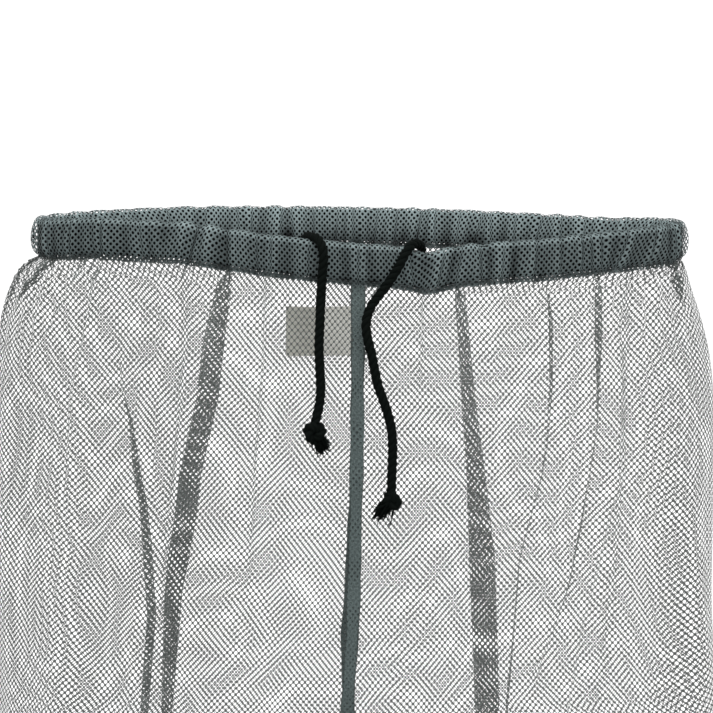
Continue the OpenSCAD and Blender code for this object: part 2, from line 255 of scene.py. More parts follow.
def run_along(points):
    """The running length along a line of points."""
    return np.concatenate([[0], np.cumsum(np.linalg.norm(np.diff(points, axis=0), axis=1))])


class Line:
    """A level outline of the garment that cloth is laid along: points, lengths and outward directions."""

    def __init__(self, x, y):
        self.x, self.y = x, y
        steps = np.hypot(np.diff(x), np.diff(y))
        self.s = np.concatenate([[0], np.cumsum(steps)])
        tx, ty = np.gradient(x), np.gradient(y)
        length = np.maximum(np.hypot(tx, ty), 1e-9)
        self.nx, self.ny = ty / length, -tx / length

    def at(self, s, out):
        nx, ny = np.interp(s, self.s, self.nx), np.interp(s, self.s, self.ny)
        length = np.maximum(np.hypot(nx, ny), 1e-9)
        return (np.interp(s, self.s, self.x) + out * nx / length,
                np.interp(s, self.s, self.y) + out * ny / length)


def lay(q, line, tucks, soft):
    """Lays cloth along a line. q is the place in the cloth, and each tuck is (its place in the cloth, its place
    along the line, width when folded, depth, how folded). Returns the place along the line and the height."""
    knots_q, knots_s = [q[0]], [0.0]
    out = np.zeros_like(q)
    for place_q, place_s, width, depth, folded in tucks:
        half = width / 2
        lap = half * (2 * folded - 1)
        knots_q += [place_q - half, place_q + half]
        knots_s += [place_s + lap, place_s - lap]
        t = (q - place_q) / half
        out -= depth * folded * t * np.exp((1 - t * t) / 2)
    knots_q.append(q[-1])
    knots_s.append(line.s[-1])
    return blurred(np.interp(q, knots_q, knots_s), soft), blurred(out, 2)


def in_cloth(tucks, length):
    """Where tucks lie in the cloth, from (place along the line, width, depth, how folded), and its whole width."""
    laid, used, last = [], 0.0, None
    for place, width, depth, folded in tucks:
        spare = width * (0.5 - folded)
        if last is not None:
            place = max(place, last[0] + max(0.0, spare + last[1]) + 0.5)
        laid.append((place + used + width * folded, place, width, depth, folded))
        used += 2 * width * folded
        last = (place, spare)
    return laid, length + used


def grid_into(bm, places, cloth, wrap=False, clear=None, tone=None):
    """Adds a woven grid to a mesh: places are rows by columns by 3, cloth the flat places for its UV map, clear
    says where its holes stand open, and tone the painted light and shade that make it lighter or darker."""
    rows, cols = places.shape[:2]
    layer = bm.loops.layers.uv.get("cloth") or bm.loops.layers.uv.new("cloth")
    given = {"clear": clear, "tone": tone}
    marks = {name: bm.verts.layers.float.get(name) or bm.verts.layers.float.new(name) for name in given}
    made = bmesh.ops.create_grid(bm, x_segments=cols - 1, y_segments=rows - 1, size=0.5)["verts"]
    spot = {}
    for vert in made:
        col = round((vert.co.x + 0.5) * (cols - 1))
        row = round((vert.co.y + 0.5) * (rows - 1))
        spot[vert] = (row, col)
    faces = {face for vert in made for face in vert.link_faces}
    for face in faces:
        for loop in face.loops:
            loop[layer].uv = cloth[spot[loop.vert]]
    for vert in made:
        vert.co = places[spot[vert]]
    for name, values in given.items():
        if values is not None:
            for vert in made:
                vert[marks[name]] = values[spot[vert]]
    if wrap:
        edge = [v for v in made if spot[v][1] in (0, cols - 1)]
        bmesh.ops.remove_doubles(bm, verts=edge, dist=1e-6)
    return made


def finish_mesh(name, bm, material, body=None, replaces=(), flip=False):
    """Turns a bmesh into a smooth piece of the garment on one body."""
    if flip:
        bmesh.ops.reverse_faces(bm, faces=bm.faces)
    mesh = bpy.data.meshes.new(name)
    bm.to_mesh(mesh)
    bm.free()
    mesh.shade_smooth()
    mesh.materials.append(material)
    obj = bpy.data.objects.new(name, mesh)
    bpy.context.scene.collection.objects.link(obj)
    if body:
        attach(obj, body)
    if replaces:
        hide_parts(*replaces)
    return obj


def tube_into(bm, centres, radii, sides, twist=0.0):
    """Adds a closed tube along a line of points to a mesh."""
    centres = np.array(centres, float)
    radii = np.array(radii, float) * np.ones(len(centres))
    _, u, v = frames(centres)
    turn = np.linspace(0, 2 * math.pi, sides + 1) + twist
    ring = np.cos(turn)[None, :, None] * u[:, None, :] + np.sin(turn)[None, :, None] * v[:, None, :]
    places = centres[:, None, :] + radii[:, None, None] * ring
    caps = [centres[:1, None, :] + 1e-5 * ring[:1], centres[-1:, None, :] + 1e-5 * ring[-1:]]
    places = np.concatenate([caps[0], places, caps[1]])
    length = run_along(centres)
    length = np.concatenate([[0], length, [length[-1]]])
    around = np.linspace(0, 1, sides + 1)
    cloth = np.stack(np.meshgrid(around * 0.01, length), axis=-1)
    made = grid_into(bm, places, cloth, wrap=True)
    alive = [v for v in made if v.is_valid]
    bmesh.ops.remove_doubles(bm, verts=alive, dist=5e-5)


def frames(points):
    """Tangents and two steady cross directions along a line of points."""
    t = np.gradient(points, axis=0)
    t /= np.maximum(np.linalg.norm(t, axis=1), 1e-12)[:, None]
    start = np.cross(t[0], [0, 1, 0.2])
    u = [start / np.linalg.norm(start)]
    for k in range(1, len(points)):
        side = u[-1] - t[k] * np.dot(u[-1], t[k])
        u.append(side / np.linalg.norm(side))
    u = np.array(u)
    return t, u, np.cross(t, u)


def smooth_line(route, step):
    """Points at an even step along a smooth curve through a route."""
    p = np.array(route, float)
    p = np.concatenate([[2 * p[0] - p[1]], p, [2 * p[-1] - p[-2]]])
    fine = []
    for a, b, c, d in zip(p, p[1:], p[2:], p[3:]):
        for t in np.linspace(0, 1, 24, endpoint=False):
            fine.append(0.5 * (2 * b + (c - a) * t + (2 * a - 5 * b + 4 * c - d) * t * t
                               + (3 * b - a - 3 * c + d) * t ** 3))
    fine.append(p[-2])
    fine = np.array(fine)
    s = run_along(fine)
    count = max(3, int(round(s[-1] / step)) + 1)
    even = np.linspace(0, s[-1], count)
    return np.stack([np.interp(even, s, fine[:, k]) for k in range(3)], axis=1)


# ---------------------------------------------------------------- materials


def feed(tree, socket, value):
    """Gives an input its value, or links it to another node's socket."""
    if isinstance(value, bpy.types.NodeSocket):
        tree.links.new(value, socket)
    else:
        socket.default_value = value


def add(tree, kind, inputs=None, **settings):
    """A shader node with its settings and its inputs, each a value or another node's socket."""
    made = tree.nodes.new(kind)
    for name, value in settings.items():
        setattr(made, name, value)
    for name, value in (inputs or {}).items():
        feed(tree, made.inputs[name], value)
    return made


def calc(tree, operation, *values):
    return add(tree, "ShaderNodeMath", dict(enumerate(values)), operation=operation).outputs[0]


def ramp(tree, value, low, high, out_low=0.0, out_high=1.0, kind="SMOOTHSTEP"):
    made = add(tree, "ShaderNodeMapRange", {"Value": value, "From Min": low, "From Max": high, "To Min": out_low,
                                            "To Max": out_high}, interpolation_type=kind)
    return made.outputs["Result"]


def blend_colour(tree, share, a, b, mode="MIX"):
    made = add(tree, "ShaderNodeMix", data_type="RGBA", blend_type=mode)
    for k, value in ((0, share), (6, a), (7, b)):
        feed(tree, made.inputs[k], value)
    return made.outputs[2]


def new_group(name, inputs, outputs):
    """A shader node group with named inputs, {name: (kind, default)}, and outputs, {name: kind}."""
    group = bpy.data.node_groups.new(name, "ShaderNodeTree")
    for label, (kind, default) in inputs.items():
        socket = group.interface.new_socket(name=label, in_out="INPUT", socket_type=kind)
        if default is not None:
            socket.default_value = default
    for label, kind in outputs.items():
        group.interface.new_socket(name=label, in_out="OUTPUT", socket_type=kind)
    return group, group.nodes.new("NodeGroupInput").outputs, group.nodes.new("NodeGroupOutput").inputs


def net_group():
    """The knitted net: a lattice of rounded diamond holes in two phases, with a little unevenness."""
    group, given, result = new_group(
        "Knitted net",
        {"Cloth": ("NodeSocketVector", None), "Pitch Across": ("NodeSocketFloat", 0.003),
         "Pitch Down": ("NodeSocketFloat", 0.004), "Hole Across": ("NodeSocketFloat", 0.002),
         "Hole Down": ("NodeSocketFloat", 0.0025), "Roundness": ("NodeSocketFloat", 1.5),
         "Unevenness": ("NodeSocketFloat", 0.0003)},
        {"Yarn": "NodeSocketFloat", "Height": "NodeSocketFloat"},
    )
    noise = add(group, "ShaderNodeTexNoise", {"Vector": given["Cloth"], "Scale": 90.0, "Detail": 1.0})
    shift = add(group, "ShaderNodeVectorMath", {0: noise.outputs["Color"], 1: (0.5, 0.5, 0.5)},
                operation="SUBTRACT")
    shift = add(group, "ShaderNodeVectorMath", {0: shift.outputs[0], "Scale": given["Unevenness"]},
                operation="SCALE")
    cloth = add(group, "ShaderNodeVectorMath", {0: given["Cloth"], 1: shift.outputs[0]}, operation="ADD")
    split = add(group, "ShaderNodeSeparateXYZ", {"Vector": cloth.outputs[0]})
    nearest = None
    for phase in (0.0, 0.5):
        parts = []
        for axis, pitch, hole in (("X", "Pitch Across", "Hole Across"), ("Y", "Pitch Down", "Hole Down")):
            cell = calc(group, "DIVIDE", split.outputs[axis], given[pitch])
            cell = calc(group, "FRACT", calc(group, "ADD", cell, phase + 100.0))
            off = calc(group, "ABSOLUTE", calc(group, "SUBTRACT", cell, 0.5))
            reach = calc(group, "DIVIDE", calc(group, "MULTIPLY", given[pitch], 2.0), given[hole])
            parts.append(calc(group, "POWER", calc(group, "MULTIPLY", off, reach), given["Roundness"]))
        far = calc(group, "ADD", *parts)
        nearest = far if nearest is None else calc(group, "MINIMUM", nearest, far)
    group.links.new(ramp(group, nearest, 0.84, 1.16), result["Yarn"])
    group.links.new(ramp(group, nearest, 0.9, 1.9), result["Height"])
    return group


def fibre_group():
    """Fine fibres along a strand, and slow changes of shade."""
    group, given, result = new_group(
        "Fibres",
        {"Cloth": ("NodeSocketVector", None), "Across": ("NodeSocketFloat", 900.0),
         "Along": ("NodeSocketFloat", 120.0)},
        {"Fibre": "NodeSocketFloat", "Shade": "NodeSocketFloat"},
    )
    split = add(group, "ShaderNodeSeparateXYZ", {"Vector": given["Cloth"]})
    stretched = add(group, "ShaderNodeCombineXYZ", {
        "X": calc(group, "MULTIPLY", split.outputs["X"], given["Across"]),
        "Y": calc(group, "MULTIPLY", split.outputs["Y"], given["Along"])})
    fibre = add(group, "ShaderNodeTexNoise", {"Vector": stretched.outputs[0], "Scale": 1.0, "Detail": 3.0})
    shade = add(group, "ShaderNodeTexNoise", {"Vector": given["Cloth"], "Scale": 35.0, "Detail": 2.0})
    group.links.new(fibre.outputs["Fac"], result["Fibre"])
    group.links.new(shade.outputs["Fac"], result["Shade"])
    return group


def use(tree, group, **inputs):
    made = tree.nodes.new("ShaderNodeGroup")
    made.node_tree = group
    for name, value in inputs.items():
        feed(tree, made.inputs[name.replace("_", " ")], value)
    return made.outputs


def new_material(name, roughness, sheen=0.0, specular=0.3):
    material = bpy.data.materials.new(name)
    material.use_nodes = True
    tree = material.node_tree
    shader = tree.nodes["Principled BSDF"]
    shader.inputs["Roughness"].default_value = roughness
    shader.inputs["Sheen Weight"].default_value = sheen
    shader.inputs["Specular IOR Level"].default_value = specular
    return material, tree, shader.inputs


def bump(tree, shader, strength, distance, height):
    made = add(tree, "ShaderNodeBump", {"Strength": strength, "Distance": distance, "Height": height})
    tree.links.new(made.outputs[0], shader["Normal"])


def cloth_map(tree):
    return add(tree, "ShaderNodeUVMap", uv_map="cloth").outputs["UV"]


def tinted(tree, tone, share, low=0.75, high=1.25):
    """A colour that grows lighter and darker with a value."""
    light = tuple(min(1, c * high) for c in tone[:3]) + (1,)
    dark = tuple(c * low for c in tone[:3]) + (1,)
    return blend_colour(tree, share, dark, light)


def net_material(name, tone, pitch, hole, opened, roundness, cover, groups, uneven=0.0003):
    """See-through knitted net on the piece's flat pattern; its holes open wider where it stands clear."""
    net, fibres = groups
    material, tree, shader = new_material(name, 0.75, specular=0.2)
    cloth = cloth_map(tree)
    clear = add(tree, "ShaderNodeAttribute", attribute_name="clear").outputs["Fac"]
    holes = [ramp(tree, clear, 0.0, 1.0, a, b, "LINEAR") for a, b in zip(hole, opened)]
    lattice = use(tree, net, Cloth=cloth, Pitch_Across=pitch[0], Pitch_Down=pitch[1], Hole_Across=holes[0],
                  Hole_Down=holes[1], Roundness=roundness, Unevenness=uneven)
    grain = use(tree, fibres, Cloth=cloth, Across=2500.0, Along=900.0)
    yarn = tinted(tree, tone, grain["Shade"], 0.8, 1.2)
    # Painted shade: the yarn is darker towards each hole's edge, as on the rounded sides of the threads
    yarn_edge_shade = ramp(tree, lattice["Height"], 0.0, 0.9, 0.45, 1.0, "LINEAR")
    strand = ramp(tree, grain["Fibre"], 0.3, 0.7, 0.78, 1.16, "LINEAR")
    # The tone attribute brings in the painted light and shade laid on the cloth
    lit = calc(tree, "ADD", add(tree, "ShaderNodeAttribute", attribute_name="tone").outputs["Fac"], 1.0)
    shade = calc(tree, "MULTIPLY", calc(tree, "MULTIPLY", yarn_edge_shade, strand), lit)
    tree.links.new(blend_colour(tree, 1.0, yarn, shade, "MULTIPLY"), shader["Base Color"])
    tree.links.new(calc(tree, "MULTIPLY", lattice["Yarn"], cover), shader["Alpha"])
    rise = calc(tree, "ADD", lattice["Height"], calc(tree, "MULTIPLY", grain["Fibre"], 0.35))
    bump(tree, shader, 0.6, 0.0003, rise)
    return material


def layered_net_material(name, tone, net_sizes, groups):
    """Several sewn layers of net: dense, with the layers' holes as faint dark dots."""
    net, fibres = groups
    material, tree, shader = new_material(name, 0.85, specular=0.15)
    cloth = cloth_map(tree)
    top = use(tree, net, Cloth=cloth, Pitch_Across=net_sizes.pitch_across, Pitch_Down=net_sizes.pitch_down,
              Hole_Across=0.0013, Hole_Down=0.0017, Roundness=1.7, Unevenness=0.0011)
    moved = add(tree, "ShaderNodeMapping", {"Vector": cloth, "Location": (0.0011, 0.0008, 0),
                                            "Rotation": (0, 0, 0.12)})
    under = use(tree, net, Cloth=moved.outputs[0], Pitch_Across=net_sizes.pitch_across,
                Pitch_Down=net_sizes.pitch_down, Hole_Across=0.0015, Hole_Down=0.0019, Roundness=1.7,
                Unevenness=0.0011)
    cover = calc(tree, "MAXIMUM", top["Yarn"], calc(tree, "MULTIPLY", under["Yarn"], 0.62))
    grain = use(tree, fibres, Cloth=cloth, Across=1400.0, Along=900.0)
    mixed = calc(tree, "MULTIPLY", ramp(tree, cover, 0.0, 1.0, 0.5, 1.0, "LINEAR"),
                 ramp(tree, grain["Fibre"], 0.3, 0.7, 0.55, 1.18, "LINEAR"))
    shade = blend_colour(tree, 1.0, tinted(tree, tone, grain["Shade"], 0.85, 1.3), mixed, "MULTIPLY")
    tree.links.new(shade, shader["Base Color"])
    filled = calc(tree, "MAXIMUM", top["Yarn"], under["Yarn"])
    tree.links.new(ramp(tree, filled, 0.0, 1.0, 0.8, 1.0), shader["Alpha"])
    bump(tree, shader, 0.7, 0.0004, top["Height"])
    return material


def fibre_material(name, tone, across, along_, roughness, groups, strength=0.6, sheen=0.0):
    """A strand or thread of fine fibres."""
    material, tree, shader = new_material(name, roughness, sheen=sheen, specular=0.08)
    grain = use(tree, groups[1], Cloth=cloth_map(tree), Across=across, Along=along_)
    tree.links.new(tinted(tree, tone, grain["Fibre"], 0.5, 1.5), shader["Base Color"])
    bump(tree, shader, strength, 0.0002, grain["Fibre"])
    return material


def elastic_material(name, tone, groups):
    """Woven elastic: fine upright ribs crossed by rubber threads."""
    material, tree, shader = new_material(name, 0.95, specular=0.05)
    cloth = cloth_map(tree)
    wide = add(tree, "ShaderNodeTexWave", {"Vector": cloth, "Scale": 520.0, "Distortion": 0.4},
               bands_direction="X").outputs["Fac"]
    long = add(tree, "ShaderNodeTexWave", {"Vector": cloth, "Scale": 260.0, "Distortion": 0.2},
               bands_direction="Y").outputs["Fac"]
    rib = calc(tree, "MULTIPLY", wide, long)
    grain = use(tree, groups[1], Cloth=cloth, Across=1500.0, Along=1500.0)
    tree.links.new(tinted(tree, tone, calc(tree, "MULTIPLY", rib, grain["Fibre"]), 0.7, 1.6), shader["Base Color"])
    bump(tree, shader, 0.5, 0.0003, rib)
    return material


def label_material(name, tone, groups):
    """Thin satin tape, a little see-through, with plain bars where care signs would be."""
    material, tree, shader = new_material(name, 0.5, sheen=0.2)
    cloth = cloth_map(tree)
    weave = add(tree, "ShaderNodeTexWave", {"Vector": cloth, "Scale": 800.0, "Distortion": 0.3},
                bands_direction="Y").outputs["Fac"]
    grain = use(tree, groups[1], Cloth=cloth, Across=400.0, Along=1600.0)
    split = add(tree, "ShaderNodeSeparateXYZ", {"Vector": cloth})
    bars = add(tree, "ShaderNodeTexWave", {"Vector": cloth, "Scale": 75.0}, bands_direction="Y").outputs["Fac"]
    inside = calc(tree, "MULTIPLY", ramp(tree, split.outputs["X"], 0.0205, 0.0207),
                  ramp(tree, split.outputs["X"], 0.0383, 0.0385, 1.0, 0.0))
    ink = calc(tree, "MULTIPLY", calc(tree, "MULTIPLY", inside, ramp(tree, bars, 0.72, 0.8)), 0.22)
    base = tinted(tree, tone, grain["Fibre"], 0.85, 1.15)
    tree.links.new(blend_colour(tree, ink, base, (0.07, 0.07, 0.065, 1)), shader["Base Color"])
    tree.links.new(ramp(tree, weave, 0.0, 1.0, 0.78, 0.9), shader["Alpha"])
    bump(tree, shader, 0.25, 0.0001, weave)
    return material


MATERIALS = {}


def make_materials():
    net = bpy.context.scene.trousers_net
    trim = bpy.context.scene.trousers_trim
    groups = (net_group(), fibre_group())
    pitch = (net.pitch_across, net.pitch_down)
    opened = (net.hole_across, net.hole_down)
    shut = tuple(hole * 0.5 for hole in opened)
    MATERIALS["net"] = net_material("Open net", net.yarn, pitch, shut, opened, 1.6, 0.95, groups)
    MATERIALS["band"] = net_material(
        "Gathered net", net.band_yarn, (pitch[0] * BAND_PITCH[0], pitch[1] * BAND_PITCH[1]),
        (net.closed_across, net.closed_down), (opened[0] * 0.94, opened[1] * 0.84), 1.7, 0.98, groups)
    MATERIALS["seam"] = layered_net_material("Sewn layers of net", net.seam_yarn, net, groups)
    MATERIALS["cord"] = fibre_material("Twisted cord", trim.cord, 5000.0, 500.0, 0.8, groups)
    MATERIALS["fray"] = fibre_material("Loose strands", trim.cord, 4000.0, 900.0, 0.85, groups)
    MATERIALS["thread"] = fibre_material("Sewing thread", trim.thread, 6000.0, 1800.0, 0.6, groups, sheen=0.2)
    MATERIALS["elastic"] = elastic_material("Woven elastic", trim.elastic, groups)
    MATERIALS["label"] = label_material("Satin label", trim.label, groups)


# ---------------------------------------------------------------- pieces


ROUTES = {
    "left": {
        "bridge": [(-38.3, -93.2, -20), (-36.4, -92.8, -20), (-34.4, -90.8, -20), (-33.6, -88, -19.6),
                   (-33.3, -85.2, -17.6), (-33, -83.8, -14), (-32, -84.2, -8), (-30, -88, -3.6), (-27, -94, -3),
                   (-23.5, -100, -3.5), (-21, -105, -7), (-20, -107, -13), (-20.5, -107, -20),
                   (-21, -107.5, -27), (-21.3, -108, -32)],
        "tail": [(-21.4, -108.2, -33.6), (-21.7, -109.5, -40), (-22, -111.5, -48), (-22.5, -113, -62),
                 (-22, -114.4, -75), (-21.6, -115.2, -85), (-22.4, -116, -94), (-24.2, -116.8, -101.5)],
        "knot": (-25, -118, -108.5), "pivot": (-21.3, -108, -32.8), "fray": (0.58, -0.12, -0.8),
        "turn": 0.4, "knot_size": 1.28,
    },
    "right": {
        "bridge": [(38.3, -93.2, -23.6), (36.4, -92.8, -23.6), (34.4, -90.8, -23.6), (33.4, -88.2, -23.2),
                   (33, -85.6, -21.2), (33.4, -84.4, -17.5), (33.8, -84.4, -13), (33.6, -86.6, -9.4),
                   (32.4, -91, -7.4), (30, -96.8, -6.6), (27.4, -102.6, -7.8), (24.4, -106, -12),
                   (21.6, -107.4, -17.4), (18.6, -107.6, -22.4), (15.4, -107.8, -27.2), (12.6, -108, -31.2)],
        "tail": [(11.5, -108.3, -32.5), (6, -110, -40), (3.4, -111.6, -48), (3.8, -112.8, -56),
                 (6.5, -113.8, -67), (9.5, -114.4, -82), (14, -115, -95), (17, -115.4, -106), (17.8, -115.8, -117),
                 (17.5, -116.4, -128), (17.2, -117, -139)],
        "knot": (17.2, -118, -146.5), "pivot": (12, -108, -31.8), "fray": (-0.72, -0.12, -0.62),
        "turn": 1.9, "knot_size": 1.02,
    },
}


def strands_into(bm, centres, lengths, twist_from, share=1.0):
    """Adds a cord of three twisted strands along a line of points."""
    trim = bpy.context.scene.trousers_trim
    radius = trim.cord_d / 2 * share
    _, u, v = twist_from
    for strand in range(3):
        angle = 2 * math.pi * (lengths / trim.cord_pitch + strand / 3)
        off = 0.47 * radius * (np.cos(angle)[:, None] * u + np.sin(angle)[:, None] * v)
        tube_into(bm, centres + off, 0.6 * radius, 10)


def build_cord(side):
    """The drawcord's free end on one side: over the band's edge, down to the knot, and its frayed strands."""
    route = ROUTES[side]
    step = 0.0008
    points = smooth_line(np.array(route["bridge"] + route["tail"] + [route["knot"]]) * MM, step)
    lengths = run_along(points)
    turned = frames(points)
    pivot = Vector(route["pivot"]) * MM
    split = int(np.argmin(np.linalg.norm(points - np.array(pivot), axis=1)))
    end = int(np.argmin(np.linalg.norm(points - np.array(route["knot"]) * MM, axis=1))) - int(0.003 / step)
    made = {}
    for part, low, high in (("bridge", 0, split), ("tail", split, end)):
        bm = bmesh.new()
        spread = slice(low, high + 1)
        strands_into(bm, points[spread], lengths[spread], [w[spread] for w in turned])
        piece = finish_mesh(f"{side}_cord_{part}_rope", bm, MATERIALS["cord"])
        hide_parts(f"{side}_cord_{part}")
        made[part] = (piece, points[spread], lengths[high] - lengths[low])
    bridge, bridge_path, bridge_length = made["bridge"]
    tail, tail_path, tail_length = made["tail"]
    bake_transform(bridge)
    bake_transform(tail)
    knot = build_knot(side)
    fray = build_fray(side)


def build_knot(side):
    """An overhand knot of the same three strands."""
    route = ROUTES[side]
    centre = np.array(route["knot"]) * MM
    big = 0.00112 * route["knot_size"]
    t = np.linspace(0, 2 * math.pi, 90) + route["turn"]
    ring = 2.05 + np.cos(3 * t)
    path = np.stack([ring * np.cos(2 * t) * big, np.sin(3 * t) * big * 1.9, ring * np.sin(2 * t) * big], axis=1)
    lean = 0.5 if side == "left" else -0.35
    c, s = math.cos(lean), math.sin(lean)
    path = np.stack([path[:, 0] * c - path[:, 2] * s, path[:, 1], path[:, 0] * s + path[:, 2] * c], axis=1)
    path += centre
    lengths = run_along(path)
    bm = bmesh.new()
    strands_into(bm, path, lengths, frames(path), share=0.95)
    return finish_mesh(f"{side}_overhand_knot", bm, MATERIALS["cord"], f"{side}_pull", [f"{side}_knot"])


def build_fray(side):
    """The unravelled end: a short tuft of curling yarns."""
    route = ROUTES[side]
    rng = random.Random(41 if side == "left" else 77)
    heading = Vector(route["fray"]).normalized()
    root = Vector(route["knot"]) * MM + heading * 0.003
    bm = bmesh.new()
    for _ in range(90):
        spread = Vector((rng.gauss(0, 1), rng.gauss(0, 0.7), rng.gauss(0, 1))) * 0.33
        direction = (heading + spread).normalized()
        length = rng.uniform(0.0046, 0.0074)
        curl = Vector((rng.gauss(0, 1), rng.gauss(0, 0.6), rng.gauss(0, 1))) * 0.0009
        start = root + Vector((rng.gauss(0, 1), rng.gauss(0, 1), rng.gauss(0, 1))) * 0.0014
        points = []
        for k in range(7):
            t = k / 6
            points.append(start + direction * length * t + curl * math.sin(math.pi * 1.3 * t) * t
                          - Vector((0, 0, 0.0022)) * t * t)
        radii = [0.0005 * (1 - 0.5 * k / 6) for k in range(7)]
        tube_into(bm, [tuple(p) for p in points], radii, 5)
    return finish_mesh(f"{side}_frayed_strands", bm, MATERIALS["fray"], f"{side}_pull",
                       [f"{side}_frayed_end"])


# Cross-section of a gathered casing: [outward from its middle, height below its top edge], in millimetres
CASING_SECTION = [(0.9, -23.6), (1.0, -22.6), (1.7, -21.4), (3.6, -19.2), (4.6, -15.5), (4.8, -10), (4.5, -5),
                  (3.6, -1.6), (1.8, 0), (0, 0.3), (-1.8, 0), (-3.6, -1.8), (-4.4, -5), (-4.6, -11), (-4.2, -16),
                  (-3.0, -19.4), (-1.2, -21.4), (-0.5, -22.4), (-0.4, -23.2)]


def oval_line(half_w, half_d, count=721):
    """The band's oval, from the centre back round by -X, the front and +X, in millimetres."""
    turn = np.linspace(0, 2 * math.pi, count)
    return Line(-half_w * np.sin(turn), half_d * np.cos(turn))


def rim(x, y):
    """Height of the waistband's top edge at places round it, in millimetres."""
    front = ease(0.5 - y / 60)
    return front * along(RIM_FRONT, x) + (1 - front) * along(RIM_BACK, x)


def round_place(line, x, front):
    """How far round an oval a place across it is, at the front or at the back."""
    reach = math.asin(max(-1.0, min(1.0, x / np.max(line.x))))
    turn = math.pi + reach if front else (-reach) % (2 * math.pi)
    return float(np.interp(turn, np.linspace(0, 2 * math.pi, len(line.s)), line.s))


# How far each pucker of the band is folded
PUCKER = 0.33


def band_tucks(line, puckers_front, puckers_back, share):
    """The band's puckers at one height, from -1 at its foot to 1 at its top, and the cloth's length round."""
    found = sorted((round_place(line, x + lean * share, front), width, 0.0, PUCKER)
                   for puckers, front in ((puckers_front, True), (puckers_back, False))
                   for x, width, lean in puckers)
    return in_cloth(found, line.s[-1])


def lean_back(y, height):
    """How far the band leans outward at a height: its back rests tilted towards the top."""
    return 0.30 * ease((y + 10) / 60) * (height + 11)


def closed(rows):
    """A ring's rows of places, with each row's end laid on its start."""
    places = np.array(rows)
    places[:, -1] = places[:, 0]
    return places


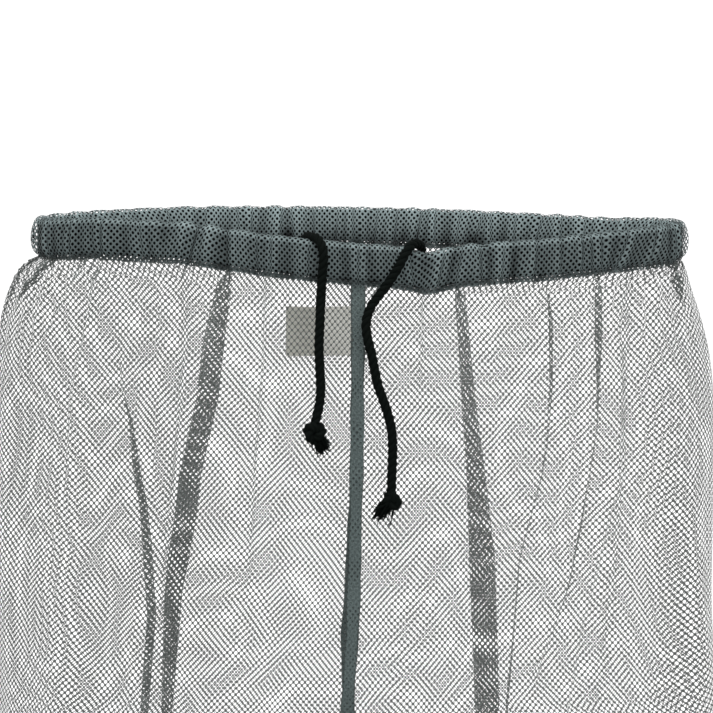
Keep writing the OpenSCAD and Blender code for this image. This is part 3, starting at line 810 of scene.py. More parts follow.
def casing_places(half_w, half_d, fronts, backs, section, rim_of, seed, wave):
    """Places and flat places of a gathered casing, in millimetres, the cloth's length round, and where the net
    stands clear of the elastic."""
    rng = random.Random(seed)
    middle = oval_line(half_w - MIDDLE_IN[0], half_d - MIDDLE_IN[1])
    tucks, total = band_tucks(middle, fronts, backs, 0)
    centres = [(c, w) for c, _, w, _, _ in tucks]
    q = [0.0]
    while q[-1] < total - 0.3:
        near = min(abs(q[-1] + 0.5 - c) for c, _ in centres)
        q.append(q[-1] + (0.45 if near < 5 else 1.3))
    q = np.array(q) * total / q[-1]
    reference = knots(tucks, total)
    waves = [(rng.uniform(8, 24), rng.uniform(0, PHASE), rng.uniform(0.25, 0.5) * wave, rng.uniform(-0.08, 0.08))
             for _ in range(6)]
    groove, dip, crease_shade = np.zeros_like(q), np.zeros_like(q), np.zeros_like(q)
    for c, w in centres:
        deep = w / 4
        sharp = min(1.0, max(0.0, (w - 3.9) / 1.3))
        groove -= (0.5 + 0.7 * sharp) * deep * np.exp(-((q - c) / (2.2 - 0.8 * sharp)) ** 2)
        groove += 0.6 * deep * (np.exp(-((q - c - 3.4) / 1.7) ** 2) + np.exp(-((q - c + 3.4) / 1.7) ** 2))
        dip += rng.uniform(0.3, 0.8) * deep * np.exp(-((q - c) / rng.uniform(3.0, 5.5)) ** 2)
        # Painted shade along each pucker's crease, with painted lighter ridges beside it and darker bands beyond
        crease_shade -= (0.16 + 0.26 * sharp) * np.exp(-((q - c) / (2.0 - 0.7 * sharp)) ** 2)
        for off, light in ((3.2, 0.26), (-3.0, 0.20), (6.8, -0.16), (-6.2, -0.12)):
            crease_shade += light * deep * np.exp(-((q - c - off) / 1.8) ** 2)
    stretch = np.maximum(0.8, np.abs(np.interp(q * middle.s[-1] / total, middle.s, middle.ny)))
    even = np.concatenate([[0], np.cumsum(np.diff(q) * (stretch[1:] + stretch[:-1]) / 2)])
    repeat = bpy.context.scene.trousers_net.pitch_across / MM * BAND_PITCH[0]
    even *= round(even[-1] / repeat) * repeat / even[-1]
    path = smooth_line([(o, 0, h) for o, h in section], 1.55)
    flat_h = run_along(path)
    rows, cloth, clear, tone = [], [], [], []
    for (outward, _, height), down in zip(path, flat_h):
        tucks, length = band_tucks(middle, fronts, backs, height / 11 + 1)
        laid = np.interp(q, reference, knots(tucks, length))
        s, _ = lay(laid, middle, tucks, 2)
        side = 1 if outward > 0 else -1
        belly = math.sin(math.pi * min(1, max(0, -height / 22))) ** 0.6
        ripple = sum(tall * np.sin(2 * math.pi * q / size_ + phase + bend * height * side)
                     for size_, phase, tall, bend in waves)
        y_near = middle.at(s, np.zeros_like(s))[1]
        lean = lean_back(y_near, height) if wave >= 1 else 0
        # The wall never sinks as far as the elastic or the drawcord inside it
        push = np.maximum(groove + ripple - dip * wave, -SINK_OUTSIDE if side > 0 else -SINK_INSIDE)
        x, y = middle.at(s, outward + lean + side * belly * push)
        z = rim_of(x, y) + height + (0.35 * ripple - 0.7 * wave * dip) * (1 if height > -11 else 0.3)
        rows.append(np.stack([x, y, z], axis=1))
        level = rim_of(x, y) * ease((x - 10) / 40) * ease((20 - y) / 60) * side
        pulled = even + 0.45 * np.sin(2 * math.pi * (even / 31 + height / 40)) + 1.1 * dip * (height / 22 + 0.5)
        cloth.append(np.stack([pulled, down + level + 0.8 * dip], axis=1))
        back = ease((y + 10) / 50)
        ends = 0.7 * ease((np.abs(x) - (half_w - 6)) / 4)
        loops = float(ease((height + 0.9) / 0.9)) * (0.12 + 0.6 * back)
        clear.append(np.maximum(ends, loops))
        # Painted light and shade on the back band's inner face: lighter towards its top, darker towards its foot
        inside = 1 - ease((outward + 1.5) / 3)
        lit = 0.62 * float(ease((height + 17) / 14)) - 0.30 * (1 - float(ease((height + 21) / 9)))
        lit = inside * back * lit
        # Painted highlight along the band's top edge, fainter at the back, and a darker line near its lower edge
        edge = (0.75 * math.exp(-((height + 1.2) / 1.0) ** 2) * (1 - 0.6 * back)
                - 0.30 * math.exp(-((height + 21.0) / 1.6) ** 2))
        # Painted shade: dark patches along the foot of the back band's inner face
        foot = inside * back * np.clip(np.sin(q / 7.3) + np.sin(q / 4.1 + 2), 0, 1) * ease((-height - 9) / 6)
        # The tone sums the painted marks above with painted shading that follows the wall's ripples
        tone.append(crease_shade * belly + 0.30 * ripple + lit + edge - 0.35 * foot)
    return closed(rows), np.array(cloth), total, (np.array(clear), np.array(tone))


def ring_box_into(bm, line, outer, inner, top, low, rim_of, shrink=1.0):
    """Adds a flat woven ring, such as elastic, to a mesh."""
    keep = slice(0, None, 4)
    s = line.s[keep].copy()
    s[-1] = line.s[-1]
    section = [(outer, low), (outer, (low + top) / 2), (outer, top), (inner, top), (inner, (low + top) / 2),
               (inner, low), (outer, low)]
    rows, cloth, down = [], [], 0.0
    for k, (out, height) in enumerate(section):
        lean = lean_back(line.at(s, np.zeros_like(s))[1], height) if shrink < 1 else 0
        x, y = line.at(s, out + lean)
        z = rim_of(x, y) + height
        rows.append(np.stack([x * shrink, y, z], axis=1))
        if k:
            down += abs(height - section[k - 1][1]) + abs(out - section[k - 1][0])
        cloth.append(np.stack([s, np.full_like(s, down)], axis=1))
    grid_into(bm, closed(rows) * MM, np.array(cloth) * MM, wrap=True)
    bmesh.ops.remove_doubles(bm, verts=bm.verts, dist=1e-6)


def stitches_into(bm, points, length, spare, radius):
    """Adds a row of lock stitches along a line of points, in metres."""
    s = run_along(points)
    count = int(s[-1] / (length + spare))
    for k in range(count):
        at = (k + np.array([0.0, 0.35, 0.65, 1.0]) * length / (length + spare)) * s[-1] / count
        line = np.stack([np.interp(at, s, points[:, axis]) for axis in range(3)], axis=1)
        tube_into(bm, line, [radius * 0.5, radius, radius, radius * 0.5], 5)


def no_rim(x, y):
    return np.zeros_like(x)


def build_waistband():
    """The waist casing, the elastic with its join, the cord inside, the stitching and the two cord exits."""
    cut = bpy.context.scene.trousers_cut
    half_w, half_d = cut.waist_half_w / MM, cut.waist_half_d / MM
    places, cloth, total, (clear, tone) = casing_places(
        half_w, half_d, FRONT_PUCKERS, BACK_PUCKERS, CASING_SECTION, rim, 5, 1.0)
    bm = bmesh.new()
    grid_into(bm, places * MM, cloth * MM, wrap=True, clear=clear, tone=tone)
    casing = finish_mesh("waist_casing_net", bm, MATERIALS["band"], "waist", ["waist_casing"])
    middle = oval_line(half_w - MIDDLE_IN[0], half_d - MIDDLE_IN[1])
    bm = bmesh.new()
    ring_box_into(bm, middle, 3.0, 1.5, -1.5, -20.2, rim, 0.997)
    elastic = finish_mesh("waist_elastic_band", bm, MATERIALS["elastic"], "waist", ["waist_elastic"])
    build_elastic_join(middle)
    build_inner_cord(middle)
    build_waist_stitching(middle)
    for side in SIDES:
        build_cord_exit(side)


def build_elastic_join(middle):
    """The overlapped end of the elastic, with its zigzag stitching."""
    low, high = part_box("elastic_join")
    centre = (low + high) / 2
    bm = bmesh.new()
    span = np.linspace(low.x, high.x, 25)
    s_at = [middle.s[int(np.argmin(np.where(middle.y < 0, np.abs(middle.x - x / MM), 1e9)))] for x in span]
    rows, cloth = [], []
    outline = [(1.6, -17.8), (1.7, -12), (1.6, -5), (0.5, -4.7), (0.1, -12), (0.5, -18.1), (1.6, -17.8)]
    for out, height in outline:
        x, y = middle.at(np.array(s_at), np.full(len(s_at), out))
        rows.append(np.stack([x, y, rim(x, y) + height], axis=1))
        cloth.append(np.stack([span / MM, np.full(len(span), height)], axis=1))
    grid_into(bm, np.array(rows) * MM, np.array(cloth) * MM)
    bmesh.ops.remove_doubles(bm, verts=bm.verts, dist=1e-6)
    bmesh.ops.holes_fill(bm, edges=bm.edges)
    bmesh.ops.recalc_face_normals(bm, faces=bm.faces)
    for k in range(3):
        z = centre.z / MM + 4 - 4 * k
        zigzag = [(low.x / MM + 2 + j * 1.4, low.y / MM + 0.2, z + (0.9 if j % 2 else -0.9)) for j in range(15)]
        tube_into(bm, np.array(zigzag) * MM, 0.00022, 5)
    finish_mesh("elastic_overlap", bm, MATERIALS["elastic"], "waist", ["elastic_join"])


def build_inner_cord(middle):
    """The part of the drawcord that the casing holds."""
    end_x = ROUTES["right"]["bridge"][0][0] + 0.3
    front = [int(np.argmin(np.where(middle.y < 0, np.abs(middle.x - x), 1e9))) for x in (-end_x, end_x)]
    count = len(middle.s) - 1
    order = [k % count for k in range(front[1], count + front[0] + 1)]
    points = []
    for k in order[::3] + [order[-1]]:
        x, y = middle.at(np.array([middle.s[k]]), np.array([-1.1]))
        points.append((x[0], y[0], float(rim(x, y)[0]) - 12.4))
    path = smooth_line(np.array(points) * MM, 0.0016)
    lengths = run_along(path)
    bm = bmesh.new()
    strands_into(bm, path, lengths, frames(path))
    finish_mesh("waist_drawcord_rope", bm, MATERIALS["cord"], "waist", ["waist_drawcord"])


def build_waist_stitching(middle):
    """Rows of lock stitch that close the casing, outside and inside."""
    bm = bmesh.new()
    for out in (1.95, -1.45):
        s = np.linspace(0, middle.s[-1], 500)
        x, y = middle.at(s, np.full_like(s, out))
        points = np.stack([x, y, rim(x, y) - 21.7], axis=1) * MM
        stitches_into(bm, points, STITCH, STITCH_GAP, 0.00028)
    finish_mesh("waist_lock_stitch", bm, MATERIALS["thread"], "waist", ["waist_stitching"])


def build_cord_exit(side):
    """A buttonhole in the casing's inner face, bound with close stitches."""
    low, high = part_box(f"{side}_cord_exit")
    centre = (low + high) / 2
    radius = (high.z - low.z) / 2 - 0.0012
    bm = bmesh.new()
    for k in range(40):
        turn = 2 * math.pi * k / 40
        across, up = math.cos(turn), math.sin(turn)
        line = []
        for reach, rise in ((-0.0012, 0), (-0.0006, 0.0006), (0.0006, 0.0006), (0.0012, 0)):
            line.append((centre.x + across * (radius + reach), centre.y + rise, centre.z + up * (radius + reach)))
        tube_into(bm, line, 0.0003, 5)
    finish_mesh(f"{side}_bound_buttonhole", bm, MATERIALS["thread"], "waist", [f"{side}_cord_exit"])


# ---------------------------------------------------------------- the net panels


def side_flare(side, drop):
    """Half width of the hips at a distance below the band, in millimetres."""
    waist = bpy.context.scene.trousers_cut.waist_half_w / MM - NET_IN
    drop = max(drop, 0)
    if side == "left":
        return waist + 9 * (1 - math.exp(-drop / 4)) + 20 * (1 - math.exp(-drop / 30))
    near = 3 * (1 - math.exp(-drop / 3)) + 17.5 * (1 - math.exp(-((drop / 39) ** 1.8)))
    return waist + near + 7 * float(ease((drop - 190) / 120))


def outline_at(side, z):
    """The level outline of one side's panel at a height: from the front seam round the side to the back seam."""
    cut = bpy.context.scene.trousers_cut
    drop = -cut.band_h / MM - z
    crotch = cut.crotch_z / MM
    c = np.linspace(0, 1, 401)
    phi = math.pi * c
    half_w = side_flare(side, drop)
    waist_d = cut.waist_half_d / MM - NET_IN
    half_d = waist_d + (cut.hip_half_d / MM - waist_d) * (1 - math.exp(-max(drop, 0) / HIP_FALL))
    power = 1 - SQUARENESS * float(ease(drop / SQUARE_OVER))
    hip_x = half_w * np.sin(phi)
    hip_y = -half_d * np.sign(np.cos(phi)) * np.abs(np.cos(phi)) ** power
    depth = (crotch + TURN_IN_OVER - z) / TURN_IN_OVER
    turn_in = 1.0 if depth >= 1 else 1 - math.sqrt(max(0.0, 1 - max(0.0, depth) ** 2))
    near_seam = np.exp(-(np.minimum(c, 1 - c) / 0.10) ** 2)
    open_share = float(ease((-200 - z) / 190))
    t = near_seam * turn_in + (1 - near_seam) * open_share
    low = min(1.0, max(0.0, (crotch - z) / (crotch - cut.cuff_top_z / MM)))
    gather = math.exp(-max(0.0, z - cut.cuff_top_z / MM) / GATHER_OVER)
    leg_w = (LEG_W - LEG_W_LESS * low ** TAPER) * (1 - gather) + (cut.cuff_half_w / MM - CUFF_IN) * gather
    leg_d = (LEG_D - LEG_D_LESS * low ** TAPER) * (1 - gather) + (cut.cuff_half_d / MM - CUFF_IN) * gather
    leg_x = LEG_X + (cut.cuff_x / MM - LEG_X) * low
    leg_px = leg_x - leg_w * np.cos(2 * phi)
    leg_py = -leg_d * np.sin(2 * phi)
    x = hip_x * (1 - t) + leg_px * t
    y = hip_y * (1 - t) + leg_py * t
    if z > crotch:
        shift = SIDES[side] * (along(FRONT_SEAM, z) * (y < 0) + along(BACK_SEAM, z) * (y >= 0))
        x = x + shift * np.clip(1 - x / half_w, 0, 1) ** 2
    return Line(x, y)


def tucks_at(side, line, z):
    """This side's folds at a height, from the front seam to the back one, and the cloth's width there."""
    found = []
    half = len(line.x) // 2
    for folds, front in ((FRONT_FOLDS[side], True), (BACK_FOLDS[side][::-1], False)):
        xs = line.x[:half] if front else line.x[half:][::-1]
        ss = line.s[:half] if front else line.s[half:][::-1]
        top = int(np.argmax(xs))
        for width, depth, path in folds:
            s = float(np.interp(along(path, z), xs[:top + 1], ss[:top + 1]))
            found.append((s, width, depth, float(along(path, z, 2))))
    return in_cloth(found, line.s[-1])


def knots(tucks, total):
    """Both edges of each tuck in the cloth, and the cloth's own edges."""
    edges = [c + part * w / 2 for c, _, w, _, _ in tucks for part in (-1, 1)]
    return [0.0] + edges + [total]


REFERENCE_Z = -150.0


def panel_columns(side):
    """Places across the cloth at the height where its folds are deepest: closer together at the folds."""
    tucks, total = tucks_at(side, outline_at(side, REFERENCE_Z), REFERENCE_Z)
    q = [0.0]
    while q[-1] < total - 0.4:
        near = min(abs(q[-1] - c) - w * 0.5 for c, _, w, _, _ in tucks)
        q.append(q[-1] + (0.8 if near < 4 else 1.6 if near < 12 else 2.6))
    return np.array(q) * total / q[-1], knots(tucks, total)


def drape(side, q, z, total):
    """Soft folds of the hanging cloth at a height: how far it stands out, in millimetres."""
    rng = random.Random(11 if side == "left" else 23)
    cut = bpy.context.scene.trousers_cut
    drop = -cut.band_h / MM - z
    out = np.zeros_like(q)
    for _ in range(9):
        length, phase, share = rng.uniform(9, 19), rng.uniform(0, PHASE), rng.uniform(0.4, 1.0)
        bend = rng.uniform(-0.01, 0.01)
        out += share * 0.85 * math.exp(-max(drop, 0) / rng.uniform(16, 40)) * np.sin(
            2 * math.pi * q / length + phase + bend * drop)
    for _ in range(7):
        length, phase, share = rng.uniform(38, 95), rng.uniform(0, PHASE), rng.uniform(0.5, 1.0)
        bend = rng.uniform(-0.006, 0.006)
        grow = float(ease(drop / 160)) * (1 - 0.55 * float(ease((drop - 420) / 300)))
        out += share * 1.7 * grow * np.sin(2 * math.pi * q / length + phase + bend * drop)
    ends = np.minimum(q, total - q)
    return out * ease(ends / 14) * (0.25 if drop < 0 else 1)


def panel_places(side):
    """Places and flat places of one side's panel, in metres, and its cut's width, length and area."""
    cut = bpy.context.scene.trousers_cut
    crotch, cuff_top = cut.crotch_z / MM, cut.cuff_top_z / MM
    columns, reference = panel_columns(side)
    first = -cut.band_h / MM + 3
    heights = list(np.arange(first, -60, -2.5)) + list(np.arange(-60, -300, -4.0))
    heights += list(np.arange(-300, crotch - 40, -5.0)) + list(np.arange(crotch - 40, cuff_top + 70, -11.0))
    heights += list(np.arange(cuff_top + 70, cuff_top - 0.1, -5.0)) + [cuff_top - 3]
    rows, cloth, widths, clear, tone = [], [], [], [], []
    for z in heights:
        line = outline_at(side, z)
        tucks, total = tucks_at(side, line, z)
        q = np.interp(columns, reference, knots(tucks, total))
        s, out = lay(q, line, tucks, 2)
        s = np.clip(s, 0, line.s[-1])
        x, y = line.at(s, out + drape(side, q, z, total))
        x = x * SIDES[side]
        fade = 1 - float(ease((first - z) / 110))
        top = rim(x, y) * (fade if z > crotch else 0)
        rows.append(np.stack([x, y, z + top], axis=1))
        u, v = yarn_lines(side, q, z, total, reference[-1], np.abs(np.interp(s, line.s, line.ny)))
        cloth.append(np.stack([u * SIDES[side], v + top], axis=1))
        folded = sum(min(1.0, 2.2 * f) * np.exp(-(((q - c) / (0.62 * w)) ** 4)) for c, _, w, _, f in tucks)
        shut = 0.30 * np.clip(folded, 0, 1) + 0.22 * math.exp(-max(0.0, first - 4 - z) / 3)
        shut = shut + 0.10 * ease((-x - 60) / 50) * (y < 20)
        shut = shut + 0.08 * ease((x - 150) / 50) + 0.04 * ease((-x - 170) / 30)
        clear.append(1 - np.clip(shut, 0, 0.5))
        # Painted light: the yarn is made lighter where the net lies folded over itself
        tone.append(0.55 * np.clip(folded, 0, 1))
        widths.append(total)
    length = heights[0] - heights[-1]
    area = float(np.sum((np.array(widths[1:]) + np.array(widths[:-1])) / 2 * -np.diff(heights)))
    marks = (np.array(clear), np.array(tone))
    return np.array(rows) * MM, np.array(cloth) * MM, marks, (max(widths) * MM, length * MM, area * MM * MM)


# How the net lies in each panel, front and back: stretched across and down, and how its columns and rows lean
LATTICE = {"left": ((0.99, 1.04, 0.05, -0.03), (0.86, 0.99, 0.06, -0.07)),
           "right": ((0.99, 0.995, 0, 0), (0.845, 1.0, -0.02, 0.03))}


def yarn_lines(side, q, z, total, cut_width, facing):
    """Where the net's columns and rows lie in the cloth: stretched differently at the front and the back."""
    rng = random.Random(7 if side == "left" else 19)
    sign = SIDES[side]
    steps = np.diff(q) * (np.maximum(0.74, facing[1:]) + np.maximum(0.74, facing[:-1])) / 2
    even = np.concatenate([[0], np.cumsum(steps)])
    share = ease((q / total - 0.36) / 0.28)
    (wide, tall, lean_u, lean_v), (wide_b, tall_b, lean_u_b, lean_v_b) = LATTICE[side]
    front_u, front_v = even * wide - sign * lean_u * z, z * tall - sign * lean_v * q
    rest = even[-1] - even
    back_u = (wide + wide_b) * cut_width * 0.44 - (rest * wide_b - sign * lean_u_b * z)
    back_v = z * tall_b - sign * lean_v_b * (total - q)
    u = front_u * (1 - share) + back_u * share
    v = front_v * (1 - share) + back_v * share
    for across, down, amount in ((97, 141, 0.25), (61, -83, 0.12), (173, 118, 0.4)):
        u = u + amount * np.sin(2 * math.pi * (q / across + z / down) + rng.uniform(0, PHASE))
    for across, down, amount in ((119, -97, 0.25), (57, 131, 0.12), (211, 160, 0.45)):
        v = v + amount * np.sin(2 * math.pi * (q / across + z / down) + rng.uniform(0, PHASE))
    return u, v


PANELS = {}


def build_panel(side):
    """One side's panel of net, in one piece from the waistband to the ankle."""
    places, cloth, (clear, tone), (width, length, area) = panel_places(side)
    PANELS[side] = places
    bm = bmesh.new()
    grid_into(bm, places, cloth, clear=clear, tone=tone)
    panel = finish_mesh(f"{side}_panel_net", bm, MATERIALS["net"], flip=side == "left",
                        replaces=[f"{side}_hip_panel", f"{side}_leg_panel"])
    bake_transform(panel)
    return panel, width, length, area


def strip_into(bm, edge, width, lift, wave, seed, inward):
    """Adds a narrow sewn strip along a line of points, laid flat on the cloth, in metres."""
    rng = random.Random(seed)
    t, _, _ = frames(edge)
    across = np.cross(t, inward)
    across /= np.maximum(np.linalg.norm(across, axis=1), 1e-9)[:, None]
    s = run_along(edge)
    phases = [rng.uniform(0, PHASE) for _ in range(3)]
    jitter = wave * (np.sin(s / 0.013 + phases[0]) + 0.6 * np.sin(s / 0.0053 + phases[1])
                     + 0.5 * np.sin(s / 0.031 + phases[2]))
    rows = []
    for share in np.linspace(-0.5, 0.5, 7):
        bulge = lift * (1 - 0.6 * (2 * share) ** 2)
        rows.append(edge + across * (share * width + jitter * share * 2)[:, None] - inward * bulge)
    places = np.array(rows).transpose(1, 0, 2)
    cloth = np.stack(np.meshgrid(np.linspace(-0.5, 0.5, 7) * width, s), axis=-1)
    grid_into(bm, places, cloth)
    return s, across


def overlock_into(bm, edge, across, s, half, pitch):
    """Adds an overlock thread that zigzags across a strip."""
    count = int(s[-1] / pitch)
    points = []
    for k in range(2 * count):
        at = (k + 0.5) * pitch / 2
        centre = np.array([np.interp(at, s, edge[:, axis]) for axis in range(3)])
        side = np.array([np.interp(at, s, across[:, axis]) for axis in range(3)])
        points.append(centre + side * half * (1 if k % 2 else -1))
    tube_into(bm, np.array(points), 0.00024, 4)


def sew_layers(line, inward, layers, half, pitch):
    """A mesh of sewn layers along a line, each (depth, share of the seam's width, seed), with their overlock."""
    seam_w = bpy.context.scene.trousers_cut.seam_w
    bm = bmesh.new()
    for depth, width, seed in layers:
        s, across = strip_into(bm, line + inward * depth, seam_w * width, 0.0003, 0.0003, seed, inward)
    overlock_into(bm, line + inward * 0.0022, across, s, seam_w * half, pitch)
    return bm


def build_rise_seam(front):
    """Half of the rise seam: the sewn, folded layers where the two panels meet, from band to crotch."""
    cut = bpy.context.scene.trousers_cut
    column = 0 if front else -1
    middle = (PANELS["left"][:, column] + PANELS["right"][:, column]) / 2
    keep = middle[:, 2] > cut.crotch_z + 0.0005
    line = np.concatenate([middle[keep], [[0, 0, cut.crotch_z]]])
    seam = np.array(sorted(FRONT_SEAM if front else BACK_SEAM)) * MM
    line[:, 0] = np.interp(line[:, 2], seam[:, 0], seam[:, 1])
    line = smooth_line(line, 0.0025)
    t, _, _ = frames(line)
    inward = np.cross(t, [1.0, 0, 0]) * (1 if front else -1)
    inward /= np.linalg.norm(inward, axis=1)[:, None]
    if front and inward[0, 1] < 0 or not front and inward[0, 1] > 0:
        inward = -inward
    bm = sew_layers(line, inward, ((-0.0004, 0.9, 1), (0.0009, 1.0, 2), (0.0018, 0.86, 3)), 0.48, 0.0032)
    name = "front" if front else "back"
    return finish_mesh(f"{name}_rise_seam_layers", bm, MATERIALS["seam"], "waist", [f"{name}_rise_seam"])


def build_inseam(side):
    """The seam down the inside of a leg."""
    cut = bpy.context.scene.trousers_cut
    middle = (PANELS[side][:, 0] + PANELS[side][:, -1]) / 2
    line = middle[middle[:, 2] < cut.crotch_z - 0.001]
    line = smooth_line(line, 0.004)
    inward = np.tile(np.array([float(SIDES[side]), 0, 0]), (len(line), 1))
    bm = sew_layers(line, inward, ((-0.0003, 0.8, 4), (0.0009, 0.9, 5), (0.0018, 0.75, 6)), 0.42, 0.0034)
    return finish_mesh(f"{side}_inseam_layers", bm, MATERIALS["seam"], f"{side}_leg", [f"{side}_inseam"])


def build_bar_tack():
    """Close stitches across the point where the four seams meet."""
    low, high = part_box("crotch_bar_tack")
    centre = (low + high) / 2
    bm = bmesh.new()
    for k in range(22):
        y = centre.y + (k / 21 - 0.5) * 0.006
        line = [(centre.x - 0.0042, y, low.z + 0.0002), (centre.x - 0.0025, y, low.z - 0.0005),
                (centre.x + 0.0025, y + 0.0001, low.z - 0.0005), (centre.x + 0.0042, y, low.z + 0.0002)]
        tube_into(bm, line, 0.00024, 5)
    finish_mesh("crotch_stitches", bm, MATERIALS["thread"], "waist", ["crotch_bar_tack"])


def build_label():
    """The care label, without text, folded over at its free end and sewn into the centre-back seam."""
    low, high = LABEL_LOW, LABEL_HIGH
    width = high.x - low.x
    flat = [(high.x + 0.001 - k / 32 * (width + 0.001), 0.0) for k in range(33)]
    back = [(low.x + t * LABEL_FOLD, 0.0009) for t in np.linspace(0.02, 1, 14)]
    rows, cloth = [], []
    for up in np.linspace(0, 1, 15):
        row, uv, run = [], [], 0.0
        for k, (x, behind) in enumerate(flat + back):
            sag = 0.0016 * math.sin(2.2 * math.pi * (x - low.x) / width + 1.5 * up) * (0.4 + 0.6 * up)
            row.append((x, low.y + 0.0012 + behind + sag, low.z + up * (high.z - low.z) - 0.0006 * behind / MM))
            if k:
                run += abs(x - (flat + back)[k - 1][0])
            uv.append((run, up * (high.z - low.z)))
        rows.append(row)
        cloth.append(uv)
    bm = bmesh.new()
    grid_into(bm, np.array(rows), np.array(cloth))
    label = finish_mesh("blank_care_label", bm, MATERIALS["label"], "waist", ["care_label"], flip=True)


def build_cuff(side):
    """An ankle cuff: gathered casing, elastic with its join, and stitching."""
    cut = bpy.context.scene.trousers_cut
    sign = SIDES[side]
    half_w, half_d = cut.cuff_half_w / MM, cut.cuff_half_d / MM
    rng = random.Random(61 + sign)
    reach = half_w - 8
    fronts, backs = ([(x + rng.uniform(-2, 2), rng.uniform(2.4, 4.4), rng.uniform(-1.5, 1.5))
                      for x in np.arange(-reach, reach + 1, 11)] for _ in range(2))
    thin = [(o * 0.62, -(h + 0.3) * 25 / 26 - 25) for o, h in CASING_SECTION]
    places, cloth, total, (clear, tone) = casing_places(
        half_w + 3.2, half_d + 1.8, fronts, backs, thin, no_rim, 90 + sign, 0.7)
    centre = np.array([sign * cut.cuff_x / MM, 0, cut.cuff_top_z / MM])
    bm = bmesh.new()
    grid_into(bm, (places + centre) * MM, cloth * MM, wrap=True, clear=clear, tone=tone)
    casing = finish_mesh(f"{side}_cuff_casing_net", bm, MATERIALS["band"], f"{side}_leg",
                         [f"{side}_cuff_casing"], flip=True)
    middle = oval_line(half_w - CUFF_IN, half_d - CUFF_IN)
    shifted = oval_line(half_w - CUFF_IN, half_d - CUFF_IN)
    shifted.x = shifted.x + centre[0]
    bm = bmesh.new()
    ring_box_into(bm, shifted, 1.3, -0.1, centre[2] - 3.2, centre[2] - 22.6, no_rim)
    elastic = finish_mesh(f"{side}_cuff_elastic_band", bm, MATERIALS["elastic"], f"{side}_leg",
                          [f"{side}_cuff_elastic"])
    low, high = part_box(f"{side}_cuff_elastic_join")
    bm = bmesh.new()
    bmesh.ops.create_cube(bm, size=1.0)
    bmesh.ops.scale(bm, vec=high - low, verts=bm.verts)
    bmesh.ops.translate(bm, vec=(low + high) / 2, verts=bm.verts)
    bmesh.ops.bevel(bm, geom=bm.edges, offset=0.0004, segments=2, profile=0.5, affect="EDGES", material=-1)
    bm.loops.layers.uv.new("cloth")
    finish_mesh(f"{side}_cuff_overlap", bm, MATERIALS["elastic"], f"{side}_leg",
                [f"{side}_cuff_elastic_join"])
    bm = bmesh.new()
    s = np.linspace(0, middle.s[-1], 200)
    for out in (1.3, -1.1):
        x, y = middle.at(s, np.full_like(s, out))
        points = (np.stack([x, y, np.full_like(s, -3.9)], axis=1) + centre) * MM
        stitches_into(bm, points, STITCH, STITCH_GAP, 0.00026)
    finish_mesh(f"{side}_cuff_lock_stitch", bm, MATERIALS["thread"], f"{side}_leg",
                [f"{side}_cuff_stitching"])


# ---------------------------------------------------------------- operators


class TROUSERS_OT_stage(bpy.types.Operator):
    """Make the camera, the white surroundings and the soft light"""

    bl_idname = "trousers.stage"
    bl_label = "Stage"

    def execute(self, context):
        stage = context.scene.trousers_stage
        aim = Vector((stage.aim_x, 0, stage.aim_z))
        back = Vector((0, -math.cos(stage.elevation), math.sin(stage.elevation)))
        data = bpy.data.cameras.new("Camera")
        data.lens = stage.lens
        data.sensor_width = 36
        data.clip_end = 100
        camera = bpy.data.objects.new("Camera", data)
        context.scene.collection.objects.link(camera)
        camera.location = aim + back * stage.distance
        camera.rotation_euler = (-back).to_track_quat("-Z", "Y").to_euler()
        context.scene.camera = camera
        world = bpy.data.worlds.new("White surroundings")
        context.scene.world = world
        world.use_nodes = True
        background = world.node_tree.nodes["Background"].inputs
        background["Color"].default_value = (1, 1, 1, 1)
        seen = world.node_tree.nodes.new("ShaderNodeLightPath").outputs["Is Camera Ray"]
        world.node_tree.links.new(ramp(world.node_tree, seen, 0.0, 1.0, 0.5, 1.18, "LINEAR"),
                                  background["Strength"])
        context.scene.view_settings.view_transform = "Standard"
        for name, place, power, width in (("Overhead", (-0.25, -0.75, 1.7), 27, 1.5),
                                          ("Fill", (0.9, -1.9, 0.5), 9, 1.4)):
            light = bpy.data.lights.new(name, "AREA")
            light.energy = power
            light.size = width
            lamp = bpy.data.objects.new(name, light)
            lamp.location = place
            lamp.rotation_euler = (aim - Vector(place)).to_track_quat("-Z", "Y").to_euler()
            context.scene.collection.objects.link(lamp)
        bm = bmesh.new()
        bmesh.ops.create_circle(bm, cap_ends=True, segments=96, radius=1.1)
        bmesh.ops.translate(bm, vec=(0, 0, CAD_BOX[0][2] - 0.06), verts=bm.verts)
        material, _, shader = new_material("Pale floor", 0.9)
        shader["Base Color"].default_value = (0.86, 0.86, 0.86, 1)
        finish_mesh("floor", bm, material)
        return {"FINISHED"}


class TROUSERS_OT_cords(bpy.types.Operator):
    """Lay the drawcord's two free ends with their knots and frayed ends"""

    bl_idname = "trousers.cords"
    bl_label = "Cord ends"

    def execute(self, context):
        make_materials()
        for side in SIDES:
            build_cord(side)
        return {"FINISHED"}


class TROUSERS_OT_waistband(bpy.types.Operator):
    """Make the gathered waistband with its elastic, inner cord, stitching and cord exits"""

    bl_idname = "trousers.waistband"
    bl_label = "Waistband"

    def execute(self, context):
        build_waistband()
        return {"FINISHED"}


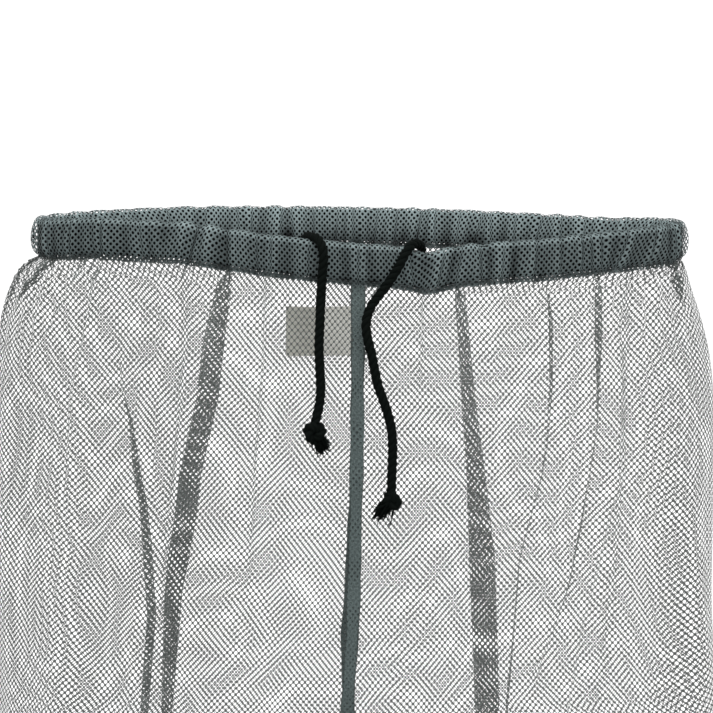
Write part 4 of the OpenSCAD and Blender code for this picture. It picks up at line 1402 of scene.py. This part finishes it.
class TROUSERS_OT_panels(bpy.types.Operator):
    """Hang the two panels of net and sew their seams"""

    bl_idname = "trousers.panels"
    bl_label = "Net panels and seams"

    def execute(self, context):
        made = {side: build_panel(side) for side in SIDES}
        seams = [build_rise_seam(True), build_rise_seam(False)]
        build_bar_tack()
        for side, (panel, width, length, area) in made.items():
            with_pieces = [build_inseam(side), seams.pop(0)]
        return {"FINISHED"}


class TROUSERS_OT_label(bpy.types.Operator):
    """Sew the care label, which has no text, into the centre-back seam"""

    bl_idname = "trousers.label"
    bl_label = "Care label"

    def execute(self, context):
        build_label()
        return {"FINISHED"}


class TROUSERS_OT_cuffs(bpy.types.Operator):
    """Make the two elasticated ankle cuffs"""

    bl_idname = "trousers.cuffs"
    bl_label = "Ankle cuffs"

    def execute(self, context):
        for side in SIDES:
            build_cuff(side)
        return {"FINISHED"}


STEPS = (TROUSERS_OT_stage, TROUSERS_OT_cords, TROUSERS_OT_waistband, TROUSERS_OT_panels, TROUSERS_OT_label,
         TROUSERS_OT_cuffs)
GROUPS = {"trousers_cut": TROUSERS_PG_cut, "trousers_net": TROUSERS_PG_net, "trousers_trim": TROUSERS_PG_trim,
          "trousers_stage": TROUSERS_PG_stage}


class TROUSERS_PT_panel(bpy.types.Panel):
    """The garment's sizes and the operators that build it"""

    bl_idname = "TROUSERS_PT_panel"
    bl_label = "Net over-trousers"
    bl_space_type = "VIEW_3D"
    bl_region_type = "UI"
    bl_category = "Trousers"

    def draw(self, context):
        for name, group in GROUPS.items():
            box = self.layout.box()
            for label in group.__annotations__:
                box.prop(getattr(context.scene, name), label)
        for step in STEPS:
            self.layout.operator(step.bl_idname)


CLASSES = (*GROUPS.values(), *STEPS, TROUSERS_PT_panel)


def register():
    for item in CLASSES:
        bpy.utils.register_class(item)
    for name, group in GROUPS.items():
        setattr(bpy.types.Scene, name, bpy.props.PointerProperty(type=group))


def unregister():
    for name in GROUPS:
        delattr(bpy.types.Scene, name)
    for item in reversed(CLASSES):
        bpy.utils.unregister_class(item)


def main():
    register()
    for step in STEPS:
        family, name = step.bl_idname.split(".")
        getattr(getattr(bpy.ops, family), name)()


if __name__ == "__main__":
    main()
